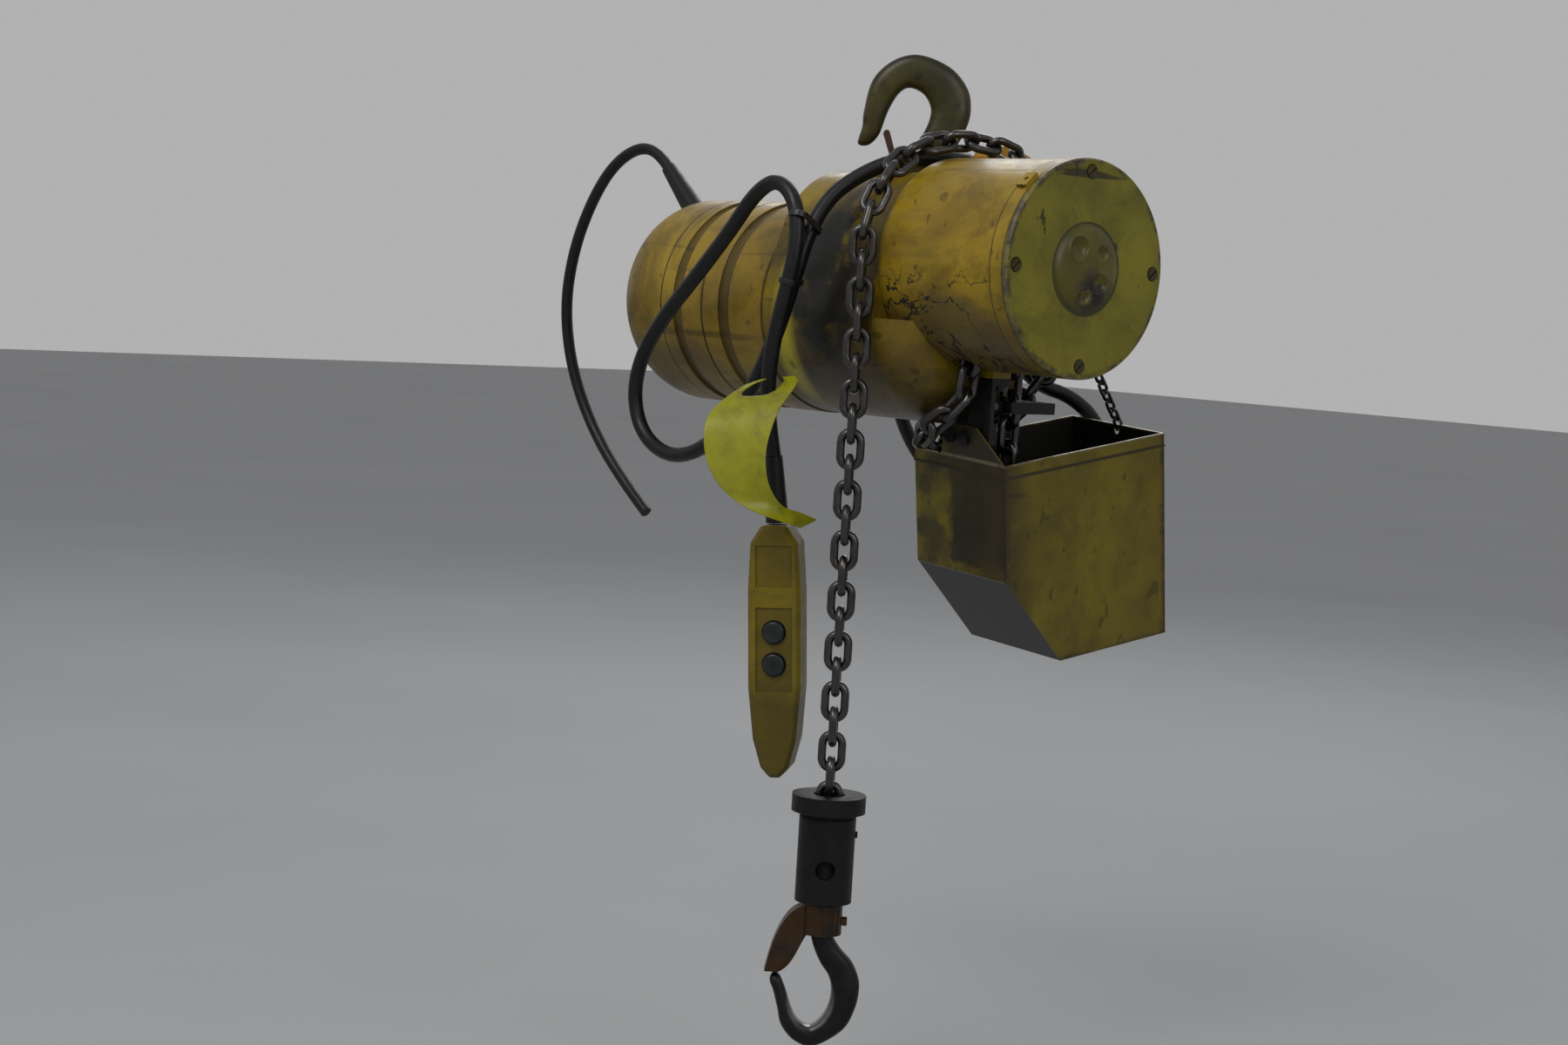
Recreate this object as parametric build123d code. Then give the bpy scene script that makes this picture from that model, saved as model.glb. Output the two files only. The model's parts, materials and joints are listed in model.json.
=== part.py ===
from build123d import *
from math import atan, cos, degrees, pi, radians, sin, sqrt, tan
import os

# Electric chain hoist. Millimetres, +Z up, origin on the saddle of the top hook.
# +X runs along the body towards the gear end, -Y is the side that the load chain hangs on.

# Body
GEAR_Z = -134.5
MOTOR_Z = GEAR_Z - 40
GEAR_R = 80.0
MOTOR_R = 84.0
FRAME_TOP_R = 70.0
WALL = 5.0
X_DOME = -276.0
X_MOTOR = -194.0
X_FRAME = -64.0
X_GEAR = 66.0
X_RING = 186.0
X_COVER = 199.0
X_END = 203.5
X_BULGE = 98.0
HUMP_X = (30.0, 52.0)
HUMP_Y = (44.0, 104.0)
HUMP_LOW = -172.0
HUMP_BACK = 112.0

# Load chain: 6.3 mm wire, 19.1 mm pitch
WIRE = 6.3
PITCH = 19.1
LINK_W = 21.2
LINK_PLAY = 0.5
SPROCKET_X = 112.0
SPROCKET_Z = GEAR_Z + 6
POCKETS = 4
FLAT_CHORD = PITCH + LINK_PLAY + WIRE
UPRIGHT_CHORD = PITCH + LINK_PLAY - WIRE - 0.3
POCKET_TURN = pi / POCKETS
CHAIN_R = sqrt(FLAT_CHORD ** 2 + UPRIGHT_CHORD ** 2 + 2 * FLAT_CHORD * UPRIGHT_CHORD * cos(POCKET_TURN))
CHAIN_R /= 2 * sin(POCKET_TURN)
STRAND_Y = sqrt(CHAIN_R ** 2 - FLAT_CHORD ** 2 / 4)
UPRIGHT_R = sqrt(CHAIN_R ** 2 - UPRIGHT_CHORD ** 2 / 4)
HANG_X = 62.0
HANG_Y = -92.6
HANG_FIRST = -144.8
HANG_LINKS = 22
EXIT_LINKS = 5
SLACK_LINKS = 9
WHEEL_LINKS = 3
DRAPE_LINKS = 31
DRAPE_ROUTE = [
    (112, -22.1, -214.4), (110, -26, -236), (98, -34, -251), (76, -33, -265), (62, -14, -269.5),
    (60, 12, -268.5), (66, 40, -260), (78, 62, -243), (89, 82, -212), (95, 93, -170),
    (94, 94, -122), (88, 75, -78), (78, 36, -47.5), (66, -4, -41.5), (58, -38, -49.5), (60, -73, -76),
    (62, -92, -112), (62, -92.6, -135.25)]
BLOCK_TOP = -540.5
BLOCK_END = BLOCK_TOP - 82

# Pad under the gear housing that carries the container bracket
PAD_Z = GEAR_Z - 85
PAD_SCREWS = ((102.2, 2.0), (119.0, 2.0))
LEVER_PIN = (3.0, PAD_Z - 21)

# Gears: module and teeth of each stage
M1, PINION1, WHEEL1 = 1.0, 12, 42
M2, PINION2, WHEEL2 = 1.25, 12, 78
SHAFT_R = 7.0
RUN_GAP = 0.05

# Hooks: both stand in a vertical plane turned this far from the X axis
HOOK_TURN = 50.0
BOWL_R = 17.5
TOP_HOOK_THICK = 20.0
LOW_HOOK_THICK = 17.0
SHANK_R = 12.0
LATCH_PIVOT = (-9.0, -BOWL_R - 38)

# Chain container
BOX_CORNER = (145.0, -12.0, -284.0)
BOX_TILT = (9.8, 3.2, -2.5)
BOX_X, BOX_Y = 104.0, 167.0
BOX_FRONT, BOX_BACK = 90.0, 162.0
BOX_FLOOR = 54.0
SHEET = 1.6
EAR = 25.0
EAR_SCREWS = (-60.0, -44.0)
EYE = (138.0, 68.0, -184.0)
SMALL_WIRE = 2.6
SMALL_PITCH = 12.0

# Cords
PENDANT_CORD_D = 11.8
POWER_CORD_D = 10.0
PENDANT_ROUTE = [
    (41, 94.5, -190), (41.5, 96, -208), (48, 114, -226), (56, 146, -234), (60, 176, -256),
    (52, 197, -296), (16, 206, -338), (-30, 204, -356), (-76, 192, -350), (-112, 170, -324),
    (-132, 142, -284), (-130, 120, -238), (-106, 110, -194), (-70, 108, -152), (-34, 106, -112),
    (-10, 88, -74), (8, 62, -54), (22, 44, -52), (35, 26, -53), (38, 6, -54), (30, -14, -55),
    (18, -33, -60), (7, -54, -72), (0, -76, -90), (1, -95, -118), (0, -105, -152), (-12, -108, -192),
    (-34, -108, -232), (-66, -106, -268), (-104, -105, -294), (-144, -106, -302), (-178, -108, -286),
    (-190, -110, -254), (-178, -112, -220), (-148, -114, -188), (-108, -116, -156),
    (-66, -118, -120), (-38, -118, -90), (-14, -116, -78), (8, -115, -94), (14, -116, -126),
    (9, -120, -162), (0, -122, -198), (-8, -119, -232), (-13, -112, -262), (-15, -103, -290)]
POWER_ROUTE = [
    (-303, 0, -64), (-319, 0, -49.5), (-342, -5, -46), (-368, -12, -62), (-392, -16, -94),
    (-410, -20, -138), (-419, -20, -188), (-414, -14, -240), (-394, -6, -288), (-356, 0, -332),
    (-314, 4, -364)]
POWER_BASE = (-250.0, 0.0, -112.0)

# Handset
HANDSET_TOP = (-14.0, -96.0, -343.0)
HANDSET_LEAN = 3.5
HANDSET_TURN = 40.0
HANDSET_L = 195.0
HANDSET_D = 17.0
HANDSET_POSTS = (-56.0, -148.0)
BUTTON_R = 8.5
BUTTON_ZS = (-82.0, -107.0)
TAG_EDGES = [
    ((-12.2, -128.8, -231.7), (15.7, -104.2, -225.4)), ((-10.5, -153.2, -242.7), (21.9, -117.1, -237.2)),
    ((-8.8, -175.1, -258.1), (24.7, -131.2, -251.7)), ((-3.8, -183.2, -274.2), (27.6, -140.8, -268.0)),
    ((1.8, -183.5, -293.3), (29.1, -145.9, -284.2)), ((10.3, -176.4, -310.8), (30.6, -144.9, -302.4)),
    ((20.2, -161.7, -324.3), (31.0, -138.3, -315.4)), ((32.1, -145.5, -332.3), (30.4, -127.7, -324.7)),
    ((33.9, -125.3, -337.6), (26.2, -108.4, -329.2)), ((26.0, -107.2, -341.9), (25.1, -88.7, -335.5))]
TAG_HOLE = (-8.0, -119.5, 8.0)

os.makedirs("parts", exist_ok=True)
parts = {}


def save(name, *solids):
    """Keep a node made of one or more separate solids."""
    found = []
    for shape in solids:
        found += list(shape.solids())
    parts[name] = found[0] if len(found) == 1 else Compound(children=found)


def rod_x(r, x0, x1, y=0.0, z=0.0):
    return Pos((x0 + x1) / 2, y, z) * Rot(0, 90, 0) * Cylinder(r, x1 - x0)


def rod_y(r, y0, y1, x=0.0, z=0.0):
    return Pos(x, (y0 + y1) / 2, z) * Rot(90, 0, 0) * Cylinder(r, y1 - y0)


def rod_z(r, z0, z1, x=0.0, y=0.0):
    return Pos(x, y, (z0 + z1) / 2) * Cylinder(r, z1 - z0)


def ring_x(r_out, r_in, x0, x1, y=0.0, z=0.0):
    return rod_x(r_out, x0, x1, y, z) - rod_x(r_in, x0 - 1, x1 + 1, y, z)


def ring_z(r_out, r_in, z0, z1, x=0.0, y=0.0):
    return rod_z(r_out, z0, z1, x, y) - rod_z(r_in, z0 - 1, z1 + 1, x, y)


def brick(x0, x1, y0, y1, z0, z1):
    return Pos((x0 + x1) / 2, (y0 + y1) / 2, (z0 + z1) / 2) * Box(x1 - x0, y1 - y0, z1 - z0)


def on_x(sketch, x0, x1):
    """Extrude a sketch drawn in (Y, Z) from x0 to x1."""
    return extrude(Plane.YZ.offset(x0) * sketch, x1 - x0)


def tapered(r0, r1, start, end):
    """A cone between two points."""
    run = Vector(*end) - Vector(*start)
    plane = Plane(origin=start, z_dir=run.normalized())
    return plane * Pos(0, 0, run.length / 2) * Cone(r0, r1, run.length)


# ---------------------------------------------------------------- frame and casings
def two_circles(r_top, r_low):
    """Egg section round the gear axis and the motor axis."""
    top = Pos(0, GEAR_Z) * Circle(r_top)
    low = Pos(0, MOTOR_Z) * Circle(r_low)
    return make_hull(top.edges() + low.edges())


REAR_SCREWS = [(x, z) for x in (33.2, 48.8) for z in (-84, -150)]


def centre_frame():
    body = on_x(two_circles(FRAME_TOP_R, MOTOR_R - 1), X_FRAME, X_GEAR)
    bulge = rod_x(MOTOR_R - 1, 40, X_BULGE, z=MOTOR_Z)
    bulge = fillet(bulge.edges().sort_by(Axis.X)[-1], 33)
    bulge -= rod_x(GEAR_R + 0.2, X_GEAR, X_BULGE + 1, z=GEAR_Z)
    bulge -= brick(X_GEAR, X_BULGE + 1, -90, 90, GEAR_Z - 45, GEAR_Z + 60)
    boss = rod_z(30, -112, -62)
    arch = Polyline((HUMP_Y[0], HUMP_LOW), (HUMP_Y[0], -50), (50, -42), (64, -40), (90, -49), (HUMP_Y[1], -74),
                    (HUMP_Y[1], HUMP_LOW), close=True)
    hump = on_x(make_face(arch.edges()), *HUMP_X)
    hollow = on_x(two_circles(FRAME_TOP_R - 9, MOTOR_R - 9), X_FRAME + 8, X_GEAR - 8)
    pocket = brick(HUMP_X[0] + 6, HUMP_X[1] - 6, 40, HUMP_Y[1] + 1, -160, -70)
    frame = body + bulge + hump - hollow - pocket
    frame += boss
    frame -= rod_z(27, -74, -40)
    frame -= rod_z(20, -120, -96)
    frame -= rod_z(SHANK_R + 0.3, -130, -40)
    frame -= rod_x(20.0, X_FRAME - 1, X_FRAME + 6, z=MOTOR_Z)
    frame -= rod_x(14, X_FRAME - 1, X_FRAME + 12, z=MOTOR_Z)
    frame -= rod_x(12, X_GEAR - 12, X_BULGE + 5, z=MOTOR_Z)
    frame -= rod_x(22, X_GEAR - 12, X_GEAR + 1, z=SPROCKET_Z)
    frame -= rod_z(7, HUMP_LOW - 5, HUMP_LOW + 20, 41, 94.5)
    for x, z in REAR_SCREWS:
        frame -= rod_y(1.9, HUMP_Y[1] - 12, HUMP_Y[1] + 1, x, z)
    return frame


def motor_housing():
    shell = ring_x(MOTOR_R, MOTOR_R - 6, X_MOTOR, X_FRAME, z=MOTOR_Z)
    for x0, x1, depth in ((-178, -167, 2.2), (-141, -139.6, 1.0), (-119, -106, 2.2)):
        shell -= ring_x(MOTOR_R + 2, MOTOR_R - depth, x0, x1, z=MOTOR_Z)
    return shell


def motor_dome():
    outer = rod_x(MOTOR_R, X_DOME, X_MOTOR, z=MOTOR_Z)
    outer = fillet(outer.edges().sort_by(Axis.X)[0], 52)
    inner = rod_x(MOTOR_R - 6, X_DOME + 6, X_MOTOR + 1, z=MOTOR_Z)
    inner = fillet(inner.edges().sort_by(Axis.X)[0], 47)
    dome = outer - inner
    return dome - tapered(10.8, 6.7, POWER_BASE, POWER_ROUTE[0])


def gear_housing():
    shell = rod_x(GEAR_R, X_GEAR, X_RING, z=GEAR_Z)
    shell += brick(100, 124, -9.5, 9.5, PAD_Z, GEAR_Z - 70)
    shell -= rod_x(GEAR_R - WALL, X_GEAR + 8, X_RING + 1, z=GEAR_Z)
    shell -= rod_x(22, X_GEAR - 1, X_GEAR + 9, z=SPROCKET_Z)
    shell -= rod_x(12, X_GEAR - 1, X_GEAR + 9, z=MOTOR_Z)
    for side in (-1, 1):
        shell -= rod_z(13.5, GEAR_Z - 90, GEAR_Z - 50, SPROCKET_X, side * STRAND_Y)
    for x, y in PAD_SCREWS:
        shell -= rod_z(3.1, PAD_Z - 1, GEAR_Z - 60, x, y)
    return shell


def intermediate_centre():
    """Where the two gear stages meet: M1 and M2 centre distances from the two axes."""
    r_motor = M1 * (PINION1 + WHEEL1) / 2
    r_drum = M2 * (PINION2 + WHEEL2) / 2
    gap = SPROCKET_Z - MOTOR_Z
    up = (r_motor ** 2 - r_drum ** 2 + gap ** 2) / (2 * gap)
    return sqrt(r_motor ** 2 - up ** 2), MOTOR_Z + up


MID_Y, MID_Z = intermediate_centre()


def plate(x0, x1):
    """A round partition inside the gear housing with its three shaft holes."""
    disc = rod_x(GEAR_R - WALL - 0.1, x0, x1, z=GEAR_Z)
    disc -= rod_x(9, x0 - 1, x1 + 1, z=MOTOR_Z)
    disc -= rod_x(11, x0 - 1, x1 + 1, z=SPROCKET_Z)
    return disc - rod_x(8, x0 - 1, x1 + 1, MID_Y, MID_Z)


def end_cover():
    disc = rod_x(GEAR_R + 0.8, X_COVER, X_END, z=GEAR_Z)
    disc = chamfer(disc.edges().sort_by(Axis.X)[-1], 1.2)
    disc += ring_x(GEAR_R - WALL - 0.3, GEAR_R - WALL - 5, X_COVER - 6, X_COVER, z=GEAR_Z)
    for k in range(4):
        y, z = 71 * cos(k * pi / 2), GEAR_Z + 71 * sin(k * pi / 2)
        disc -= rod_x(3.0, X_COVER - 7, X_END + 1, y, z)
        disc -= rod_x(5.4, X_END - 2.0, X_END + 1, y, z)
    return disc


def slotted_screw(x_head, length, y, z, r_head=5.0, r=2.6):
    """A cheese head screw along X with its slot, head outwards to +X."""
    head = rod_x(r_head, x_head - 2.4, x_head, y, z)
    head -= Pos(x_head, y, z) * Rot(40, 0, 0) * Box(2.2, 2 * r_head + 1, 1.2)
    return head + rod_x(r, x_head - length, x_head - 2.4, y, z)


def cap():
    dome = rod_x(33, X_END, X_END + 4, z=GEAR_Z)
    dome = fillet(dome.edges().sort_by(Axis.X)[-1], 3.0)
    for y, z, r in ((-12, 16, 6), (12, -14, 7.5), (-6, -22, 4)):
        dome -= Pos(X_END + 9, y, GEAR_Z + z) * Sphere(r + 1)
    return dome


# ---------------------------------------------------------------- drive
def gear(module, teeth, x0, x1, y, z, phase=0.0):
    """A spur gear along X with trapezium teeth; phase turns it in tooth pitches."""
    r = module * teeth / 2
    root, tip = r - 1.25 * module, r + 0.9 * module
    step = 360 / teeth
    half_root, half_tip = 0.30 * step, 0.11 * step
    corners = []
    for k in range(teeth):
        mid = (k + phase) * step
        for radius, turn in ((root, -half_root), (tip, -half_tip), (tip, half_tip), (root, half_root)):
            a = radians(mid + turn)
            corners.append((y + radius * cos(a), z + radius * sin(a)))
    return on_x(make_face(Polyline(*corners, close=True).edges()), x0, x1)


def mesh_phase(teeth, angle, tooth_there):
    """Phase that puts a tooth (or a gap) of a gear on the line of centres at angle degrees."""
    return angle * teeth / 360 + (0.0 if tooth_there else 0.5)


def sprocket():
    """Pocketed load wheel: a groove for the upright links and pockets for the flat ones."""
    wheel = rod_x(30, 98, 126, z=SPROCKET_Z)
    wheel -= ring_x(40, STRAND_Y - LINK_W / 2 - 1.0, SPROCKET_X - 4.4, SPROCKET_X + 4.4, z=SPROCKET_Z)
    for k in range(POCKETS):
        cut = Pos(0, STRAND_Y + 6, 0) * Box(LINK_W + 2.4, 12 + WIRE + 1.2, PITCH + 2 * WIRE + 2.4)
        wheel -= Pos(SPROCKET_X, 0, SPROCKET_Z) * Rot(90 * k, 0, 0) * cut
    wheel += rod_x(9.5, 78, 98, z=SPROCKET_Z)
    wheel += rod_x(9.5, 126, 168, z=SPROCKET_Z)
    return wheel


# ---------------------------------------------------------------- chain
def base_link():
    """One link along X, lying flat in the XY plane."""
    inner = PITCH + LINK_PLAY
    loop = SlotOverall(inner + WIRE, LINK_W - WIRE)
    path = loop.face().outer_wire()
    section = Plane(origin=path @ 0, z_dir=path % 0) * Circle(WIRE / 2)
    return sweep(section, path=path)


LINK = base_link()


def place_link(middle, along, roll):
    """Put a link at a point, its length along a direction; at roll 0 its width lies along X."""
    along = along.normalized()
    across = Vector(1, 0, 0) - along * along.X
    plane = Plane(origin=middle, x_dir=along, z_dir=along.cross(across.normalized()))
    return plane.location * Rot(roll, 0, 0) * LINK


def even_points(curve, count):
    """Points that cut a curve into equal lengths, both ends included."""
    fine = [curve @ (k / 2000) for k in range(2001)]
    run = [0.0]
    for a, b in zip(fine, fine[1:]):
        run.append(run[-1] + (b - a).length)
    points = []
    k = 0
    for j in range(count + 1):
        goal = run[-1] * j / count
        while k < 1999 and run[k + 1] < goal:
            k += 1
        share = (goal - run[k]) / (run[k + 1] - run[k])
        points.append(fine[k] + (fine[k + 1] - fine[k]) * share)
    return points


def draped_links():
    """Links from the exit, under the frame, up the back and over the body to the front."""
    curve = Spline(*DRAPE_ROUTE)
    joints = even_points(curve, DRAPE_LINKS)
    spacing = [(b - a).length for a, b in zip(joints, joints[1:])]
    print(f"draped chain: {curve.length:.1f} mm, joints {min(spacing):.2f} to {max(spacing):.2f} mm apart")
    end_roll = 135 if DRAPE_LINKS % 2 else 45
    links = []
    for k in range(DRAPE_LINKS):
        middle = (joints[k] + joints[k + 1]) / 2
        base = 90 + (end_roll - 90) * min(1.0, k / 5)
        links.append(place_link(middle, joints[k + 1] - joints[k], base + 90 * (k % 2)))
    return links


def vertical_links(x, y, z_first, count, turn):
    """Hanging links below a point; turn is the first link's plane about Z."""
    links = []
    for k in range(count):
        link = Rot(0, 90, 0) * LINK
        links.append(Pos(x, y, z_first - PITCH * k) * Rot(0, 0, turn + 90 * (k % 2)) * link)
    return links


def sprocket_links():
    """Links that lie over the top of the load wheel, between the two strands."""
    links = []
    for k in (1, 2, 3):
        a = radians(45 * k)
        flat = k % 2 == 0
        radius = STRAND_Y if flat else UPRIGHT_R
        spot = (SPROCKET_X, radius * cos(a), SPROCKET_Z + radius * sin(a))
        link = Rot(0, 0, 90) * LINK if flat else Rot(0, 90, 0) * Rot(0, 0, 90) * LINK
        links.append(Pos(*spot) * Rot(45 * k - 90, 0, 0) * link)
    return links


def strand(side, count):
    """Straight links from the load wheel's side downwards, flat and upright in turn."""
    return vertical_links(SPROCKET_X, side * STRAND_Y, SPROCKET_Z, count, 90)


# ---------------------------------------------------------------- hooks
def hook_plate(outline, thick, shank):
    """A flat forging cut to a closed outline, with a round shank."""
    return extrude(Plane.XZ * make_face(outline), thick / 2, both=True) + shank


def top_hook():
    c = -BOWL_R
    outline = [
        Line((-12, c - 54), (-12, c - 45)),
        Spline((-12, c - 45), (3, c - 29.5), (13.3, c - 16.5), (17.6, c + 1), (11, c + 13.5), (0, c + BOWL_R),
               (-11, c + 9), (-17, c - 6), (-20.8, c - 19.5), (-26, c - 26)),
        Spline((-26, c - 26), (-32, c - 30), (-38.5, c - 29), (-37, c - 23), (-34.6, c - 14), (-34.4, c - 2),
               (-29, c + 22), (-14, c + 38), (5.5, c + 44), (30, c + 36), (45, c + 20), (49, c + 3),
               (46, c - 14), (36, c - 30), (20, c - 44), (12, c - 54)),
        Line((12, c - 54), (-12, c - 54))]
    shank = rod_z(SHANK_R - 0.05, -128, -BOWL_R - 44)
    x, z = LATCH_PIVOT
    for y0 in (-9.5, 6.5):
        shank += rod_y(3.4, y0, y0 + 3, x, z) - rod_y(1.35, -12, 12, x, z)
    return Rot(0, 0, HOOK_TURN) * hook_plate(outline, TOP_HOOK_THICK, shank)


def low_hook():
    top = BLOCK_END
    outline = [
        Spline((-7.4, top - 26.5), (-2, top - 44), (6, top - 54), (10.2, top - 66), (6, top - 86), (-4, top - 97),
               (-15, top - 91), (-22, top - 76), (-27, top - 62)),
        Spline((-27, top - 62), (-31, top - 56.5), (-36.5, top - 58), (-36.5, top - 65), (-31, top - 80),
               (-27, top - 96), (-16, top - 109), (-1, top - 112.7), (17, top - 103), (28, top - 85),
               (31.8, top - 65), (27, top - 48), (17, top - 37), (9.4, top - 26.5)),
        Line((9.4, top - 26.5), (-7.4, top - 26.5))]
    shank = rod_z(9.4, top - 30, BLOCK_TOP - 40)
    return at_block(hook_plate(outline, LOW_HOOK_THICK, shank))


def hook_gate():
    """Bronze gate: a collar on the hook's neck with a curved arm down to the tip."""
    top = BLOCK_END
    collar = ring_z(15.5, 9.8, top - 25, top - 2)
    outline = [
        Spline((-8, top - 3), (-20, top - 6), (-31, top - 20), (-38, top - 40), (-41.5, top - 55.5)),
        Line((-41.5, top - 55.5), (-31, top - 55.5)),
        Spline((-31, top - 55.5), (-24, top - 50), (-17, top - 38), (-10.5, top - 25)),
        Line((-10.5, top - 25), (-8, top - 25)),
        Line((-8, top - 25), (-8, top - 3))]
    arm = extrude(Plane.XZ * make_face(outline), 8, both=True)
    arm -= rod_z(9.8, top - 60, top + 2)
    gate = collar + arm
    for k in range(4):
        a = radians(-90 + 18 * k)
        gate += rod_z(1.4, top - 23, top - 5, 15.2 * cos(a), 15.2 * sin(a))
    return at_block(gate)


def at_block(shape):
    """Put a shape drawn round the Z axis on the lower block's axis, turned with the hook."""
    return Pos(HANG_X, HANG_Y, 0) * Rot(0, 0, HOOK_TURN) * shape


# ---------------------------------------------------------------- container
def box_local():
    """Sheet steel container: open top, sloped floor and a raised ear on the front face."""
    side = Polyline((0, 0), (BOX_Y, 0), (BOX_Y, -BOX_BACK), (BOX_FLOOR, -BOX_BACK), (0, -BOX_FRONT), (0, 0))
    outer = on_x(make_face(side.edges()), -BOX_X, 0)
    t = SHEET
    inside = Polyline((t, 1), (BOX_Y - t, 1), (BOX_Y - t, t - BOX_BACK), (BOX_FLOOR + 0.5, t - BOX_BACK),
                      (t, t - BOX_FRONT), (t, 1))
    box = outer - on_x(make_face(inside.edges()), t - BOX_X, -t)
    bead = brick(-BOX_X - 0.7, 0.7, -0.7, BOX_Y + 0.7, -10.4, -9)
    bead -= brick(-BOX_X + 0.2, -0.2, 0.2, BOX_Y - 0.2, -12, -7)
    ear = Polyline((-BOX_X + 31, -1), (-BOX_X + 37, EAR), (-BOX_X + 72, EAR), (0, -1), close=True)
    ear = extrude(Plane.XZ * make_face(ear.edges()), -t)
    for x in EAR_SCREWS:
        ear -= rod_y(3.3, -5, 10, x, EAR - 9)
    box = box + bead + ear
    return box - rod_y(3, BOX_Y - 5, BOX_Y + 3, -BOX_X * 0.5, -5)


def in_box(shape):
    return Pos(*BOX_CORNER) * Rot(*BOX_TILT) * shape


def stored_chain():
    """Chain lying back and forth on the container's sloped floor and in its deep end."""
    links = []
    for layer in range(3):
        for row in range(4):
            for k in range(4):
                x = -BOX_X + 19 + k * PITCH + (layer % 2) * 6
                y = BOX_FLOOR + 16 + row * 24
                z = -BOX_BACK + 11.5 + layer * 17
                links.append(Pos(x, y, z) * Rot(45 + 90 * (k % 2), 0, 0) * LINK)
    return links


# ---------------------------------------------------------------- handset
def in_handset(shape):
    """Handset frame: origin at the top middle, face towards local -Y, length down -Z."""
    return Pos(*HANDSET_TOP) * Rot(0, 0, HANDSET_TURN) * Rot(0, -HANDSET_LEAN, 0) * shape


def handset_face():
    """The handset's front outline: sloped shoulders, straight sides, tapered round end."""
    half = [(10, 0), (18.5, -13), (20.5, -50), (20.5, -125), (17, -165), (11, -187), (4, -HANDSET_L)]
    corners = half + [(-x, z) for x, z in reversed(half)]
    return fillet(make_face(Polyline(*corners, close=True).edges()).vertices(), 4)


def handset_half(front):
    """Half of the moulded case: a shell, split down the middle of its depth."""
    solid = extrude(Plane.XZ * handset_face(), HANDSET_D, both=True)
    solid = chamfer(solid.edges().filter_by(Plane.XZ), 3)
    core = extrude(Plane.XZ * offset(handset_face(), -3), HANDSET_D - 3.2, both=True)
    shell = solid - core
    side = -1 if front else 1
    far = brick(-40, 40, *sorted((0.15 * side, 30 * side)), -230, 20)
    shell = shell & far
    for z in HANDSET_POSTS:
        for x in (-12.5, 12.5):
            shell += rod_y(3.8, *sorted((0.15 * side, (HANDSET_D - 1) * side)), x, z)
            shell -= rod_y(1.6, -9, 0, x, z)
            shell -= rod_y(1.8, -1, 25, x, z)
            shell -= rod_y(3.3, HANDSET_D - 3, 25, x, z)
    if front:
        for z0, z1 in ((-47, -15), (-128, -63)):
            shell -= brick(-14, 14, -25, -HANDSET_D + 1.3, z0, z1)
        for z in BUTTON_ZS:
            shell -= rod_y(BUTTON_R + 1.0, -25, -8, 0, z)
    return shell - rod_z(6.6, -6, 5)


def button(z):
    knob = rod_y(BUTTON_R, -HANDSET_D - 3, -9, 0, z)
    knob = fillet(knob.edges().sort_by(Axis.Y)[0], 1.5)
    return knob + rod_y(BUTTON_R + 2.2, -12.6, -10.4, 0, z)


# ---------------------------------------------------------------- cords
def cord_tube(route, diameter, name):
    """Straight runs and tangent arcs: each arc uses 0.45 of the shorter run beside it."""
    points = [Vector(*p) for p in route]
    radii = []
    for a, b, c in zip(points, points[1:], points[2:]):
        turn = (b - a).get_angle(c - b)
        shorter = min((b - a).length, (c - b).length)
        radii.append(0.45 * shorter / tan(radians(turn) / 2))
    path = FilletPolyline(*points, radius=radii)
    section = Plane(origin=path @ 0, z_dir=path % 0) * Circle(diameter / 2)
    tube = sweep(section, path=path)
    ratio = tube.volume / (pi * diameter ** 2 / 4 * path.length)
    print(f"{name}: length {path.length:.0f} mm, tightest {min(radii) / diameter:.1f} d, volume ratio {ratio:.3f}")
    return tube


def tie(a, b, grip):
    """A flat tie round two cords whose middles are at a and b, square to the direction grip."""
    a, b = Vector(*a), Vector(*b)
    plane = Plane(origin=(a + b) / 2, x_dir=b - a, z_dir=grip)
    outer = SlotOverall((b - a).length + PENDANT_CORD_D + 3.4, PENDANT_CORD_D + 3.4)
    inner = SlotOverall((b - a).length + PENDANT_CORD_D + 0.6, PENDANT_CORD_D + 0.6)
    return extrude(plane * (outer - inner), 2.4, both=True)


def small_link(middle, along, roll):
    """A link of the light chain that steadies the container."""
    loop = SlotOverall(SMALL_PITCH + 0.4 + SMALL_WIRE, 2.6 * SMALL_WIRE)
    path = loop.face().outer_wire()
    section = Plane(origin=path @ 0, z_dir=path % 0) * Circle(SMALL_WIRE / 2)
    along = along.normalized()
    across = Vector(1, 0, 0) - along * along.X
    plane = Plane(origin=middle, x_dir=along, z_dir=along.cross(across.normalized()))
    return plane.location * Rot(roll, 0, 0) * sweep(section, path=path)


def support_chain():
    """Light chain from an eye under the gear housing to the container's back rim."""
    start = Vector(*EYE)
    end = (Pos(*BOX_CORNER) * Rot(*BOX_TILT) * Pos(-BOX_X / 2, BOX_Y + 2.2, -3)).position
    count = int((end - start).length / SMALL_PITCH)
    step = (end - start) / count
    return [small_link(start + step * (k + 0.5), step, 90 * (k % 2)) for k in range(count)]


def hook_latch():
    """Flat latch that closes the top hook's throat, hinged on the neck."""
    bar = make_hull((Pos(-15.6, -BOWL_R - 18.5) * Circle(2.5)).edges() + (Pos(*LATCH_PIVOT) * Circle(2.1)).edges())
    strip = extrude(Plane.XZ * bar, 5.5, both=True)
    return strip - rod_y(1.35, -12, 12, *LATCH_PIVOT)


def warning_tag():
    """Blank plastic tag that hangs on the cord by a hole near its top, bowed out by its own curl."""
    rows = [[Vector(*a), (Vector(*a) + Vector(*b)) / 2, Vector(*b)] for a, b in TAG_EDGES]
    strip = thicken(Face.make_surface_from_array_of_points(rows, tol=0.3), 1.0)
    x, y, r = TAG_HOLE
    return strip - rod_z(r, -238, -215, x, y)


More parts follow.
